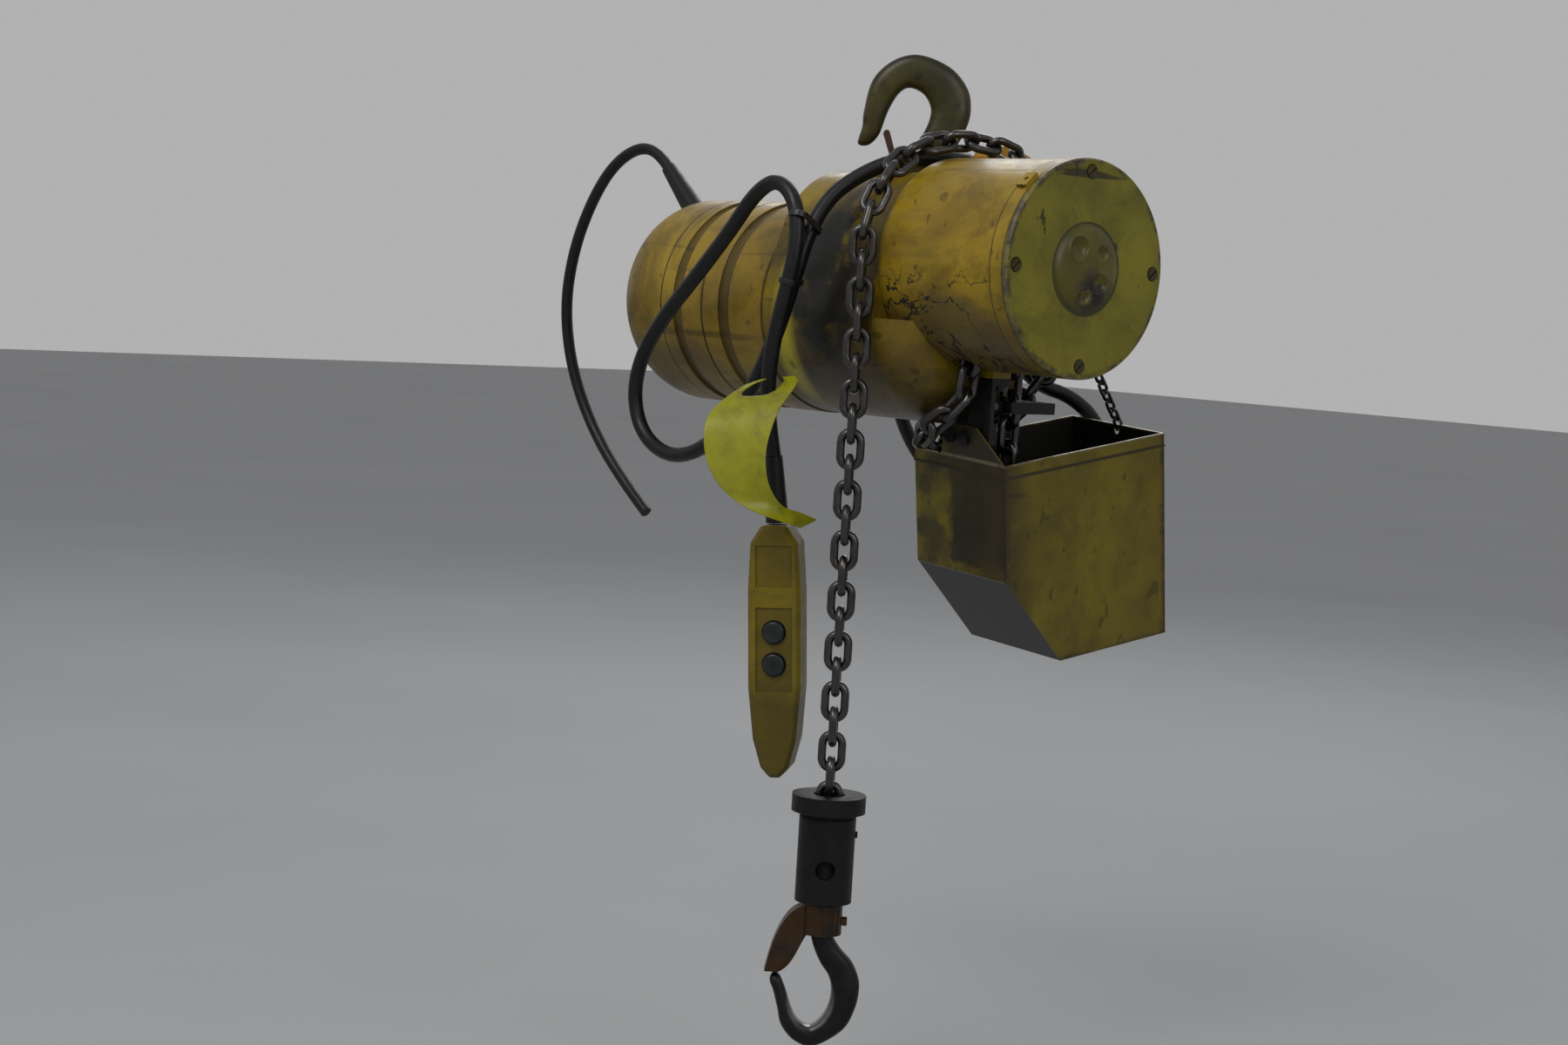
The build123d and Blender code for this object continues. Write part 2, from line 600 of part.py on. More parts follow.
# ================================================================ build the nodes
# Casings
save("centre_frame", centre_frame())
cover = brick(*HUMP_X, HUMP_Y[1] + 0.1, HUMP_BACK, HUMP_LOW + 4, -72)
cover = fillet(cover.edges().filter_by(Axis.Y), 5)
for x, z in REAR_SCREWS:
    cover -= rod_y(1.9, HUMP_Y[1] - 1, HUMP_BACK + 1, x, z)
save("rear_cover", cover)
save("motor_housing", motor_housing())
save("motor_end_dome", motor_dome())
save("gear_housing", gear_housing())
tab = Pos(0, 0, GEAR_Z) * Rot(42, 0, 0) * brick(X_RING + 1.5, X_COVER - 1.5, -7, 7, 76, 83.5)
tab -= Pos(0, 0, GEAR_Z) * Rot(42, 0, 0) * rod_z(1.9, 70, 90, (X_RING + X_COVER) / 2, 0)
save("cover_ring", ring_x(GEAR_R + 0.8, GEAR_R - WALL, X_RING, X_COVER, z=GEAR_Z) + tab)
save("end_cover", end_cover())
save("end_cover_cap", cap())
save("cover_screws", *[
    slotted_screw(X_END + 0.6, 14, 71 * cos(k * pi / 2), GEAR_Z + 71 * sin(k * pi / 2)) for k in range(4)])

# Motor
save("stator_core", ring_x(MOTOR_R - 6.2, 44, -172, -90, z=MOTOR_Z))
save("stator_windings", *[
    ring_x(66, 47, x0, x0 + 14, z=MOTOR_Z) for x0 in (-186.2, -89.8)])
save("rotor_core", ring_x(43.4, 12, -172, -90, z=MOTOR_Z))
shaft = rod_x(12, -172, -90, z=MOTOR_Z) + rod_x(9, -262, -72, z=MOTOR_Z) + rod_x(SHAFT_R, -74, 135, z=MOTOR_Z)
shaft -= rod_x(3.8, 118, 136, z=MOTOR_Z)
save("motor_shaft", shaft)
fan = ring_x(16, 9, -204, -190, z=MOTOR_Z)
for k in range(8):
    blade = brick(-204, -190, -1.2, 1.2, 15, 56)
    fan += Pos(0, 0, MOTOR_Z) * Rot(45 * k, 0, 0) * blade
save("cooling_fan", fan)
save("motor_bearings", *[
    ring_x(19.9, r, x0, x0 + 9, z=MOTOR_Z) for x0, r in ((X_FRAME - 3, SHAFT_R + RUN_GAP), (-216, 9 + RUN_GAP))])
save("motor_end_shield", ring_x(MOTOR_R - 6.2, 20, -216, -208, z=MOTOR_Z))
save("brake_coil", ring_x(48, 14, -240, -224, z=MOTOR_Z))
save("brake_armature", ring_x(46, 14, -247, -241.5, z=MOTOR_Z))
save("brake_disc", ring_x(44, 9, -255, -248.2, z=MOTOR_Z))

# Gear train
to_mid = degrees(atan((MID_Z - MOTOR_Z) / MID_Y))
stub = rod_x(3.75, 119, 136, z=MOTOR_Z)
save("motor_pinion", stub + gear(M1, PINION1, 136, 147, 0, MOTOR_Z, mesh_phase(PINION1, to_mid, True)))
wheel = gear(M1, WHEEL1, 136.5, 146.5, MID_Y, MID_Z, mesh_phase(WHEEL1, to_mid + 180, False))
save("intermediate_gear", wheel - rod_x(6, 130, 150, MID_Y, MID_Z))
to_drum = degrees(atan((SPROCKET_Z - MID_Z) / -MID_Y)) + 180
mid_shaft = rod_x(6, 124, 148.5, MID_Y, MID_Z) + rod_x(5.4, 148, 176, MID_Y, MID_Z)
mid_shaft += gear(M2, PINION2, 148.5, 164, MID_Y, MID_Z, mesh_phase(PINION2, to_drum, True))
save("intermediate_shaft", mid_shaft)
wheel = gear(M2, WHEEL2, 150, 162, 0, SPROCKET_Z, mesh_phase(WHEEL2, to_drum - 180, False))
save("output_gear", wheel - rod_x(9.5, 140, 170, z=SPROCKET_Z))
save("load_sprocket", sprocket())
save("gear_plates", plate(129, 134), plate(169, 173))
save("shaft_bushes", ring_x(10.9, 9.5 + RUN_GAP, 129, 134, z=SPROCKET_Z),
     ring_x(7.9, 6 + RUN_GAP, 126, 134, MID_Y, MID_Z),
     ring_x(7.9, 5.4 + RUN_GAP, 169, 173, MID_Y, MID_Z),
     ring_x(21.9, 9.5 + RUN_GAP, 76, 88, z=SPROCKET_Z))
save("control_gear", brick(178, 192, -30, 14, GEAR_Z + 4, GEAR_Z + 50),
     brick(177, 195, 18, 56, GEAR_Z - 20, GEAR_Z + 22))

# Container bracket, limit lever and container
py, pz = LEVER_PIN
ear_z = -262.0
bracket = brick(100, 124, -9.5, 9.5, PAD_Z - 6, PAD_Z - 0.1)
bracket += brick(106, 112, -9, py + 5, pz - 6, PAD_Z - 6)
bracket += brick(100, 124, -9.5, -5.5, ear_z - 8, PAD_Z - 6)
bracket += brick(82, 124, -9.5, -1.5, ear_z - 8, ear_z + 8)
bracket -= rod_x(2.65, 90, 120, py, pz)
for x, y in PAD_SCREWS:
    bracket -= rod_z(3.2, PAD_Z - 8, PAD_Z + 2, x, y)
ear_holes = [in_box(rod_y(3.2, -2, 22, x, EAR - 9)) for x in EAR_SCREWS]
for hole in ear_holes:
    bracket -= hole
save("container_bracket", bracket)
lever = brick(97, 127, 9.5, 56, pz - 5, pz + 4)
for x0, x1 in ((102, 105.7), (112.3, 116)):
    lever += brick(x0, x1, py - 4, 12, pz - 4, pz + 4)
lever -= rod_x(2.65, 90, 120, py, pz)
lever -= Pos(SPROCKET_X, STRAND_Y + 0.5, pz) * Box(25, 25, 20)
save("limit_lever", lever)
save("lever_pin", rod_x(2.6, 101, 117, py, pz))
save("chain_box", in_box(box_local()))
screws = [rod_y(5.5, -3.4, -0.2, x, EAR - 9) + rod_y(3.0, -3.4, 9, x, EAR - 9) for x in EAR_SCREWS]
screws = [in_box(screw) for screw in screws]
screws += [rod_z(3.6, PAD_Z - 9.4, PAD_Z - 6.1, x, y) + rod_z(2.9, PAD_Z - 7, PAD_Z + 12, x, y)
           for x, y in PAD_SCREWS]
screws += [rod_y(3.2, HUMP_BACK + 0.1, HUMP_BACK + 2.2, x, z) + rod_y(1.7, HUMP_BACK - 14, HUMP_BACK + 1, x, z)
           for x, z in REAR_SCREWS]
save("case_screws", *screws)

# Load chain
slack, exiting = strand(1, SLACK_LINKS), strand(-1, EXIT_LINKS)
save("chain_on_sprocket", *sprocket_links(), *slack[:WHEEL_LINKS], *exiting[:WHEEL_LINKS])
save("slack_chain", *slack[WHEEL_LINKS:], *[in_box(link) for link in stored_chain()])
save("draped_chain", *exiting[WHEEL_LINKS:], *draped_links())
save("hanging_chain", *vertical_links(HANG_X, HANG_Y, HANG_FIRST, HANG_LINKS, 45))

# Top hook
save("top_hook", top_hook())
save("hook_latch", Rot(0, 0, HOOK_TURN) * hook_latch())
save("latch_pin", Rot(0, 0, HOOK_TURN) * rod_y(1.25, -9.4, 9.4, *LATCH_PIVOT))
save("top_hook_nut", ring_z(17, SHANK_R, -126, -113.5))
save("top_hook_bearing", ring_z(19.5, SHANK_R + 0.3, -111.5, -97))

# Lower block: the last link hangs on a pin in the collar's sleeve, and the body holds the hook's nut
z = BLOCK_TOP
pin_turn = Rot(0, 0, 135 - HOOK_TURN)
collar = ring_z(28.1, 11.4, z - 13, z)
collar = chamfer(collar.edges().filter_by(GeomType.CIRCLE).sort_by(Axis.Z)[-1], 1)
collar += ring_z(16, 11.4, z - 18.4, z - 13)
collar -= pin_turn * rod_x(2.95, -16.5, 16.5, 0, z - 12)
save("block_collar", at_block(collar - rod_x(2.2, -30, -20, z=z - 7)))
save("chain_pin", at_block(pin_turn * rod_x(2.9, -15.7, 15.7, 0, z - 12)))
body = ring_z(21.6, 9.6, BLOCK_END, z - 17) + ring_z(19.5, 9.6, z - 18, z - 13.1)
body -= rod_z(16.05, z - 18.6, z)
body -= rod_z(15, z - 70, z - 22)
body -= rod_y(7.5, -30, 30, 0, z - 55)
stud = rod_x(2.6, 16, 23.2, 0, z - 30)
body -= rod_x(2.7, 12, 24, 0, z - 30)
save("block_body", at_block(body), at_block(stud))
save("hook_nut", at_block(ring_z(14, 9.45, z - 66, z - 48)))
save("low_hook", low_hook())
save("hook_gate", hook_gate(), at_block(rod_x(3.6, 15.6, 19.2, 0, BLOCK_END - 15)))

# Cords
save("power_strain_relief", tapered(10.5, 6.4, POWER_BASE, POWER_ROUTE[0]))
save("power_cord", cord_tube(POWER_ROUTE, POWER_CORD_D, "power cord"))
save("pendant_cord", cord_tube(PENDANT_ROUTE, PENDANT_CORD_D, "pendant cord"))
save("cord_sleeve", tapered(9, 6.9, (-14, -96.2, -340.8), PENDANT_ROUTE[-1]))
save("zip_ties", tie((1.5, -92, -114), (12.5, -115.5, -107), (0.1, -0.35, -1)),
     tie((-0.5, -105.2, -153), (9, -119, -158), (-0.2, -0.1, -1)))
save("warning_tag", warning_tag())
save("support_chain", *support_chain())
save("pendant_gland", ring_z(9.3, 6.0, -190, HUMP_LOW - 0.1, 41, 94.5))

# Handset
save("handset_front", in_handset(handset_half(True)))
save("handset_back", in_handset(handset_half(False)))
screws = [rod_y(3.1, HANDSET_D - 2.8, HANDSET_D - 0.6, x, z) + rod_y(1.5, -7, HANDSET_D - 1, x, z)
          for z in HANDSET_POSTS for x in (-12.5, 12.5)]
save("handset_screws", *[in_handset(screw) for screw in screws])
save("button_up", in_handset(button(BUTTON_ZS[0])))
save("button_down", in_handset(button(BUTTON_ZS[1])))

for node, shape in parts.items():
    shape.label = node
    export_step(shape, f"parts/{node}.step")
print(len(parts), "nodes")
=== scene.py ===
import json
import math

import bmesh
import bpy
from mathutils import Matrix, Vector


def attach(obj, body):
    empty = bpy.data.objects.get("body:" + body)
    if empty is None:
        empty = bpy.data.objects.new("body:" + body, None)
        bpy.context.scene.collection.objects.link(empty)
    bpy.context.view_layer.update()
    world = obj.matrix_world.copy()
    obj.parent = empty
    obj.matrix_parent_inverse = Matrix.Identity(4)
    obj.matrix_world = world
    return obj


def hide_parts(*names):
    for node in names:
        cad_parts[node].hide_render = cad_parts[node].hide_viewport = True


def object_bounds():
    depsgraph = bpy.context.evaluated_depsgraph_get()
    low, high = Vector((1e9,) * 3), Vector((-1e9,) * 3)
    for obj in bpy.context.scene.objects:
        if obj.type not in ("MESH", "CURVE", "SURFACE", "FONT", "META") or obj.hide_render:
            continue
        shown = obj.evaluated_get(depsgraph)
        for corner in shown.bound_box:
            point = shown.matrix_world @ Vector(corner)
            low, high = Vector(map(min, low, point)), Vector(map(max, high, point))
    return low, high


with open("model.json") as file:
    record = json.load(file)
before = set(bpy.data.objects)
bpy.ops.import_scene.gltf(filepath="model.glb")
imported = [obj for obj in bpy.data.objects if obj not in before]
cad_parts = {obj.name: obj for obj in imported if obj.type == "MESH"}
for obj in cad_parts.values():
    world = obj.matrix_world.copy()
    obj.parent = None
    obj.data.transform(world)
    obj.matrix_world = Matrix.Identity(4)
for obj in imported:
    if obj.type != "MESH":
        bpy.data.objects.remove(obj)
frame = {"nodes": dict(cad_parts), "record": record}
cad_low, cad_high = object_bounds()
NODES = frame["nodes"]

MM = 0.001
GEAR_Z = -134.5
COVER_X = 203.5
HOOK_TURN = 50.0
HANG = (62.0, -92.6)
BLOCK_END = -622.5
BOX_CORNER = (145, -12, -284)
BOX_TILT = ((9.8, "X"), (3.2, "Y"), (-2.5, "Z"))
HANDSET_TOP = (-14, -96, -343)
HANDSET_TURN, HANDSET_LEAN = 40, -3.5
PENDANT_CORD_D, POWER_CORD_D = 11.8, 10

# The viewpoint: turn, pitch and roll in degrees, place in metres, lens and sensor in mm
VIEW_ANGLES = (49.97, 4.81, 3.41)
VIEW_PLACE = (1.6309, -1.4712, -0.1607)
LENS, SENSOR = 64, 36
CLIP_NEAR, CLIP_FAR = 0.05, 60

# Studio: floor below the lowest point, background, and lights as (name, place, size, watts)
FLOOR_GAP, FLOOR_HALF = 0.06, 14
BACKGROUND, BACKGROUND_STRENGTH = (0.83, 0.82, 0.83), 0.54
LIGHTS = (("key", (0.6, -2.2, 1.9), 1.6, 44), ("side", (2.4, -0.3, 0.7), 1.2, 11),
          ("back", (-1.6, 1.8, 1.6), 1.8, 26))
AIM = (0, 0, -0.3)


# ---------------------------------------------------------------- camera
def make_camera():
    """A long lens from the front right, a little above."""
    turn, pitch, roll = (math.radians(angle) for angle in VIEW_ANGLES)
    ahead = Vector((-math.sin(turn) * math.cos(pitch), math.cos(turn) * math.cos(pitch), -math.sin(pitch)))
    right = Vector((math.cos(turn), math.sin(turn), 0))
    up = right.cross(ahead)
    right2 = right * math.cos(roll) + up * math.sin(roll)
    up2 = up * math.cos(roll) - right * math.sin(roll)
    data = bpy.data.cameras.new("camera")
    data.lens, data.sensor_width = LENS, SENSOR
    data.clip_start, data.clip_end = CLIP_NEAR, CLIP_FAR
    camera = bpy.data.objects.new("camera", data)
    bpy.context.scene.collection.objects.link(camera)
    place = Matrix((right2, up2, -ahead)).transposed().to_4x4()
    place.translation = VIEW_PLACE
    camera.matrix_world = place
    bpy.context.scene.camera = camera


make_camera()


# ---------------------------------------------------------------- materials
class Shade:
    """A principled material whose colour, roughness and bump are built up in layers."""

    def __init__(self, name, colour, rough=0.5, metal=0.0):
        self.material = bpy.data.materials.new(name)
        self.material.use_nodes = True
        self.tree = self.material.node_tree
        self.surface = self.tree.nodes["Principled BSDF"]
        self.where = self.tree.nodes.new("ShaderNodeTexCoord").outputs["Object"]
        self.colour, self.rough, self.metal = colour, rough, metal
        self.height = None

    def put(self, socket, value):
        if isinstance(value, bpy.types.NodeSocket):
            self.tree.links.new(value, socket)
        elif isinstance(value, tuple) and socket.type == "RGBA":
            socket.default_value = (*value, 1)
        else:
            socket.default_value = value

    def noise(self, scale, detail=6.0, rough=0.6, stretch=None, warp=0.0):
        node = self.tree.nodes.new("ShaderNodeTexNoise")
        node.inputs["Scale"].default_value = scale
        node.inputs["Detail"].default_value = detail
        node.inputs["Roughness"].default_value = rough
        node.inputs["Distortion"].default_value = warp
        source = self.where
        if stretch:
            mapping = self.tree.nodes.new("ShaderNodeMapping")
            self.put(mapping.inputs["Vector"], source)
            mapping.inputs["Rotation"].default_value = tuple(math.radians(a) for a in stretch[3:6])
            mapping.inputs["Scale"].default_value = stretch[:3]
            source = mapping.outputs["Vector"]
        self.put(node.inputs["Vector"], source)
        return node.outputs["Fac"]

    def span(self, value, low, high, out_low=0.0, out_high=1.0):
        node = self.tree.nodes.new("ShaderNodeMapRange")
        self.put(node.inputs["Value"], value)
        limits = {"From Min": low, "From Max": high, "To Min": out_low, "To Max": out_high}
        for key, number in limits.items():
            node.inputs[key].default_value = number
        return node.outputs["Result"]

    def calc(self, kind, a, b=0.0):
        node = self.tree.nodes.new("ShaderNodeMath")
        node.operation = kind
        self.put(node.inputs[0], a)
        self.put(node.inputs[1], b)
        return node.outputs[0]

    def mix(self, share, a, b):
        node = self.tree.nodes.new("ShaderNodeMix")
        node.data_type = "RGBA"
        self.put(node.inputs["Factor"], share)
        self.put(node.inputs[6], a)
        self.put(node.inputs[7], b)
        return node.outputs[2]

    def blend(self, share, a, b):
        node = self.tree.nodes.new("ShaderNodeMix")
        self.put(node.inputs["Factor"], share)
        self.put(node.inputs[2], a)
        self.put(node.inputs[3], b)
        return node.outputs[0]

    def axis(self, name):
        node = self.tree.nodes.new("ShaderNodeSeparateXYZ")
        self.put(node.inputs[0], self.where)
        return node.outputs[name]

    def facing(self, name):
        """How far the surface faces along a row axis."""
        geometry = self.tree.nodes.new("ShaderNodeNewGeometry")
        node = self.tree.nodes.new("ShaderNodeSeparateXYZ")
        self.put(node.inputs[0], geometry.outputs["Normal"])
        return node.outputs[name]

    def near(self, point, reach, soft, squash=(1, 1, 1)):
        """1 close to a point (in mm), falling to 0 beyond its reach."""
        mapping = self.tree.nodes.new("ShaderNodeMapping")
        self.put(mapping.inputs["Vector"], self.where)
        mapping.inputs["Location"].default_value = tuple(-p * MM * s for p, s in zip(point, squash))
        mapping.inputs["Scale"].default_value = squash
        node = self.tree.nodes.new("ShaderNodeVectorMath")
        node.operation = "LENGTH"
        self.put(node.inputs[0], mapping.outputs["Vector"])
        return self.span(node.outputs["Value"], (reach + soft) * MM, (reach - soft) * MM)

    def radius(self, z_centre):
        """Distance from an axis along X at a height."""
        up = self.calc("SUBTRACT", self.axis("Z"), z_centre * MM)
        square = self.calc("ADD", self.calc("POWER", self.axis("Y"), 2.0), self.calc("MULTIPLY", up, up))
        return self.calc("SQRT", square)

    def layer(self, share, colour, rough=None, metal=None, depth=0.0):
        """Lay another finish over part of the surface; depth in mm lowers it there."""
        self.colour = self.mix(share, self.colour, colour)
        if rough is not None:
            self.rough = self.blend(share, self.rough, rough)
        if metal is not None:
            self.metal = self.blend(share, self.metal, metal)
        if depth:
            self.raise_by(self.calc("MULTIPLY", share, -depth))

    def local(self, origin, *turns):
        """Coordinates in mm in a tilted frame: its origin in mm, then its turns, as (degrees, axis)."""
        tilt = Matrix.Identity(3)
        for degrees, axis in turns:
            tilt = tilt @ Matrix.Rotation(math.radians(degrees), 3, axis)
        tilt.transpose()
        mapping = self.tree.nodes.new("ShaderNodeMapping")
        self.put(mapping.inputs["Vector"], self.where)
        mapping.inputs["Rotation"].default_value = tilt.to_euler("XYZ")
        mapping.inputs["Location"].default_value = -(tilt @ (Vector(origin) * MM))
        parts = self.tree.nodes.new("ShaderNodeSeparateXYZ")
        self.put(parts.inputs[0], mapping.outputs["Vector"])
        return [self.calc("MULTIPLY", parts.outputs[k], 1000.0) for k in range(3)]

    def both(self, *shares):
        total = shares[0]
        for share in shares[1:]:
            total = self.calc("MULTIPLY", total, share)
        return total

    def band(self, value, middle, half, soft):
        """1 where a value is within half of its middle."""
        return self.span(self.calc("ABSOLUTE", self.calc("SUBTRACT", value, middle)), half + soft, half)

    def raise_by(self, value):
        self.height = value if self.height is None else self.calc("ADD", self.height, value)

    def finish(self, coat=0.0):
        self.put(self.surface.inputs["Base Color"], self.colour)
        self.put(self.surface.inputs["Roughness"], self.rough)
        self.put(self.surface.inputs["Metallic"], self.metal)
        self.surface.inputs["Specular IOR Level"].default_value = 0.28
        self.surface.inputs["Coat Weight"].default_value = coat
        self.surface.inputs["Coat Roughness"].default_value = 0.25
        if self.height is not None:
            bump = self.tree.nodes.new("ShaderNodeBump")
            bump.inputs["Strength"].default_value = 1.0
            bump.inputs["Distance"].default_value = MM
            self.put(bump.inputs["Height"], self.height)
            self.put(self.surface.inputs["Normal"], bump.outputs["Normal"])
        return self.material


def enamel(name, base, light, dark, grime=0.5, chips=0.5, scratch=0.5, rough=0.42):
    """Old machine enamel: uneven colour, oily grime, scratches, chips down to dark primer."""
    s = Shade(name, base, rough)
    s.colour = s.mix(s.span(s.noise(14, 4, 0.55), 0.38, 0.66), base, light)
    s.colour = s.mix(s.span(s.noise(38, 8, 0.7), 0.50, 0.72, 0, 0.55), s.colour, dark)
    s.rough = s.span(s.noise(55, 5, 0.6), 0.3, 0.7, rough - 0.12, rough + 0.16)
    film = s.calc("MULTIPLY", s.span(s.noise(11, 10, 0.68, warp=0.8), 0.47, 0.70), grime)
    s.layer(film, tuple(c * 0.18 for c in base), rough=0.55)
    lines = s.span(s.noise(60, 3, 0.5, stretch=(0.08, 1.4, 1.0, 18, 35, 12)), 0.655, 0.70)
    s.layer(s.calc("MULTIPLY", lines, scratch), tuple(c * 0.35 for c in dark), rough=0.6, depth=0.06)
    lines = s.span(s.noise(75, 2, 0.5, stretch=(1.2, 0.07, 1.1, -30, 10, 55)), 0.67, 0.70)
    s.layer(s.calc("MULTIPLY", lines, scratch), tuple(c * 0.3 for c in dark), rough=0.6, depth=0.06)
    spots = s.span(s.noise(120, 7, 0.75), 0.70 - 0.06 * chips, 0.715 - 0.06 * chips)
    s.layer(spots, (0.035, 0.026, 0.02), rough=0.7, depth=0.12)
    s.raise_by(s.calc("MULTIPLY", s.noise(420, 3, 0.5), 0.05))
    s.raise_by(s.calc("MULTIPLY", s.noise(45, 3, 0.5), 0.25))
    return s


def steel(name, base, rough=0.35, metal=1.0, stain=0.5, stain_colour=(0.03, 0.026, 0.022), grain=0.05):
    s = Shade(name, base, rough, metal)
    s.colour = s.mix(s.span(s.noise(90, 6, 0.6), 0.35, 0.7), base, tuple(c * 0.6 for c in base))
    s.rough = s.span(s.noise(160, 5, 0.6), 0.3, 0.7, rough - 0.1, rough + 0.15)
    film = s.calc("MULTIPLY", s.span(s.noise(48, 9, 0.7), 0.42, 0.66), stain)
    s.layer(film, stain_colour, rough=0.6, metal=0.2)
    s.raise_by(s.calc("MULTIPLY", s.noise(600, 4, 0.6), grain))
    return s


def polymer(name, base, rough, dust=0.2, dust_colour=(0.25, 0.23, 0.2), grain=0.04):
    s = Shade(name, base, rough)
    s.colour = s.mix(s.span(s.noise(60, 6, 0.6), 0.35, 0.7), base, tuple(c * 0.72 for c in base))
    s.rough = s.span(s.noise(140, 5, 0.6), 0.3, 0.7, rough - 0.08, rough + 0.12)
    s.layer(s.calc("MULTIPLY", s.span(s.noise(80, 9, 0.7), 0.5, 0.72), dust), dust_colour, rough=0.75)
    s.raise_by(s.calc("MULTIPLY", s.noise(700, 3, 0.5), grain))
    return s


def box_material():
    """Sheet steel enamel with a dark bead line, worn rims, a stained front and a black inside, partly its
    own dark finish and partly painted shade.
    """
    s = enamel("box_paint", (0.105, 0.078, 0.0008), (0.15, 0.115, 0.0015), (0.05, 0.032, 0.001),
               grime=0.6, rough=0.42)
    x, y, z = s.local(BOX_CORNER, *BOX_TILT)
    both = s.both
    ragged = s.span(s.noise(34, 9, 0.68), 0.35, 0.65, -5, 5)
    front = s.span(y, 1.2, 0.4)
    blot = both(front, s.span(s.calc("ADD", x, ragged), -66, -60),
                s.span(s.calc("ADD", z, ragged), -86, -80))
    s.layer(s.calc("MULTIPLY", blot, 0.93), (0.009, 0.008, 0.004), rough=0.38)
    ragged = s.span(s.noise(60, 9, 0.7), 0.35, 0.65, -3, 3)
    s.layer(both(front, s.span(s.noise(26, 8, 0.6), 0.42, 0.58), 0.85), (0.03, 0.022, 0.004), rough=0.5)
    slope = both(s.span(z, -88, -92), s.span(s.facing("Z"), -0.2, -0.5))
    s.layer(s.calc("MULTIPLY", slope, 0.7), (0.075, 0.06, 0.03), rough=0.5)
    for line in (both(s.span(s.calc("ADD", x, ragged), -5, -1), s.span(y, 30, 2)),
                 both(s.span(s.calc("ADD", y, ragged), 161, 166), s.span(x, -20, 0)),
                 s.span(s.calc("SUBTRACT", s.calc("MULTIPLY", z, -1.0), ragged), 158, 162)):
        s.layer(s.calc("MULTIPLY", line, 0.8), (0.02, 0.012, 0.004), rough=0.5)
    outside = s.span(y, 169, 168)
    bead = s.span(s.calc("ABSOLUTE", s.calc("ADD", z, 9.8)), 1.6, 0.7)
    s.layer(both(bead, outside), (0.025, 0.018, 0.005), rough=0.5)
    # Black inside: partly dark finish, partly painted shade inside the box
    inside = both(s.span(x, -1.0, -1.4), s.span(x, -103.0, -102.6), s.span(y, 1.0, 1.4),
                  s.span(y, 166.0, 165.6), s.span(z, -0.1, -1.2))
    s.layer(inside, (0.008, 0.007, 0.005), rough=0.5)
    rim = both(s.span(z, -1.6, -0.6), s.span(z, 1.6, 0.9), s.span(s.noise(50, 7, 0.6), 0.36, 0.48))
    s.layer(rim, (0.22, 0.19, 0.11), rough=0.35, metal=0.8)
    return s.finish(0.25)


# Dark lines across the casings: the two wide bands on the motor housing are painted shade in its grooves,
# the narrow ones dark seams; middle and half width in mm along X, and strength
CASING_SEAMS_AND_GROOVE_SHADE = (
    (-172.5, 5.5, 0.72), (-112.5, 6.5, 0.72), (-140.3, 0.9, 0.9), (-194, 0.6, 0.8), (-64.5, 0.8, 0.8),
    (186, 0.7, 0.85), (199, 0.5, 0.8))


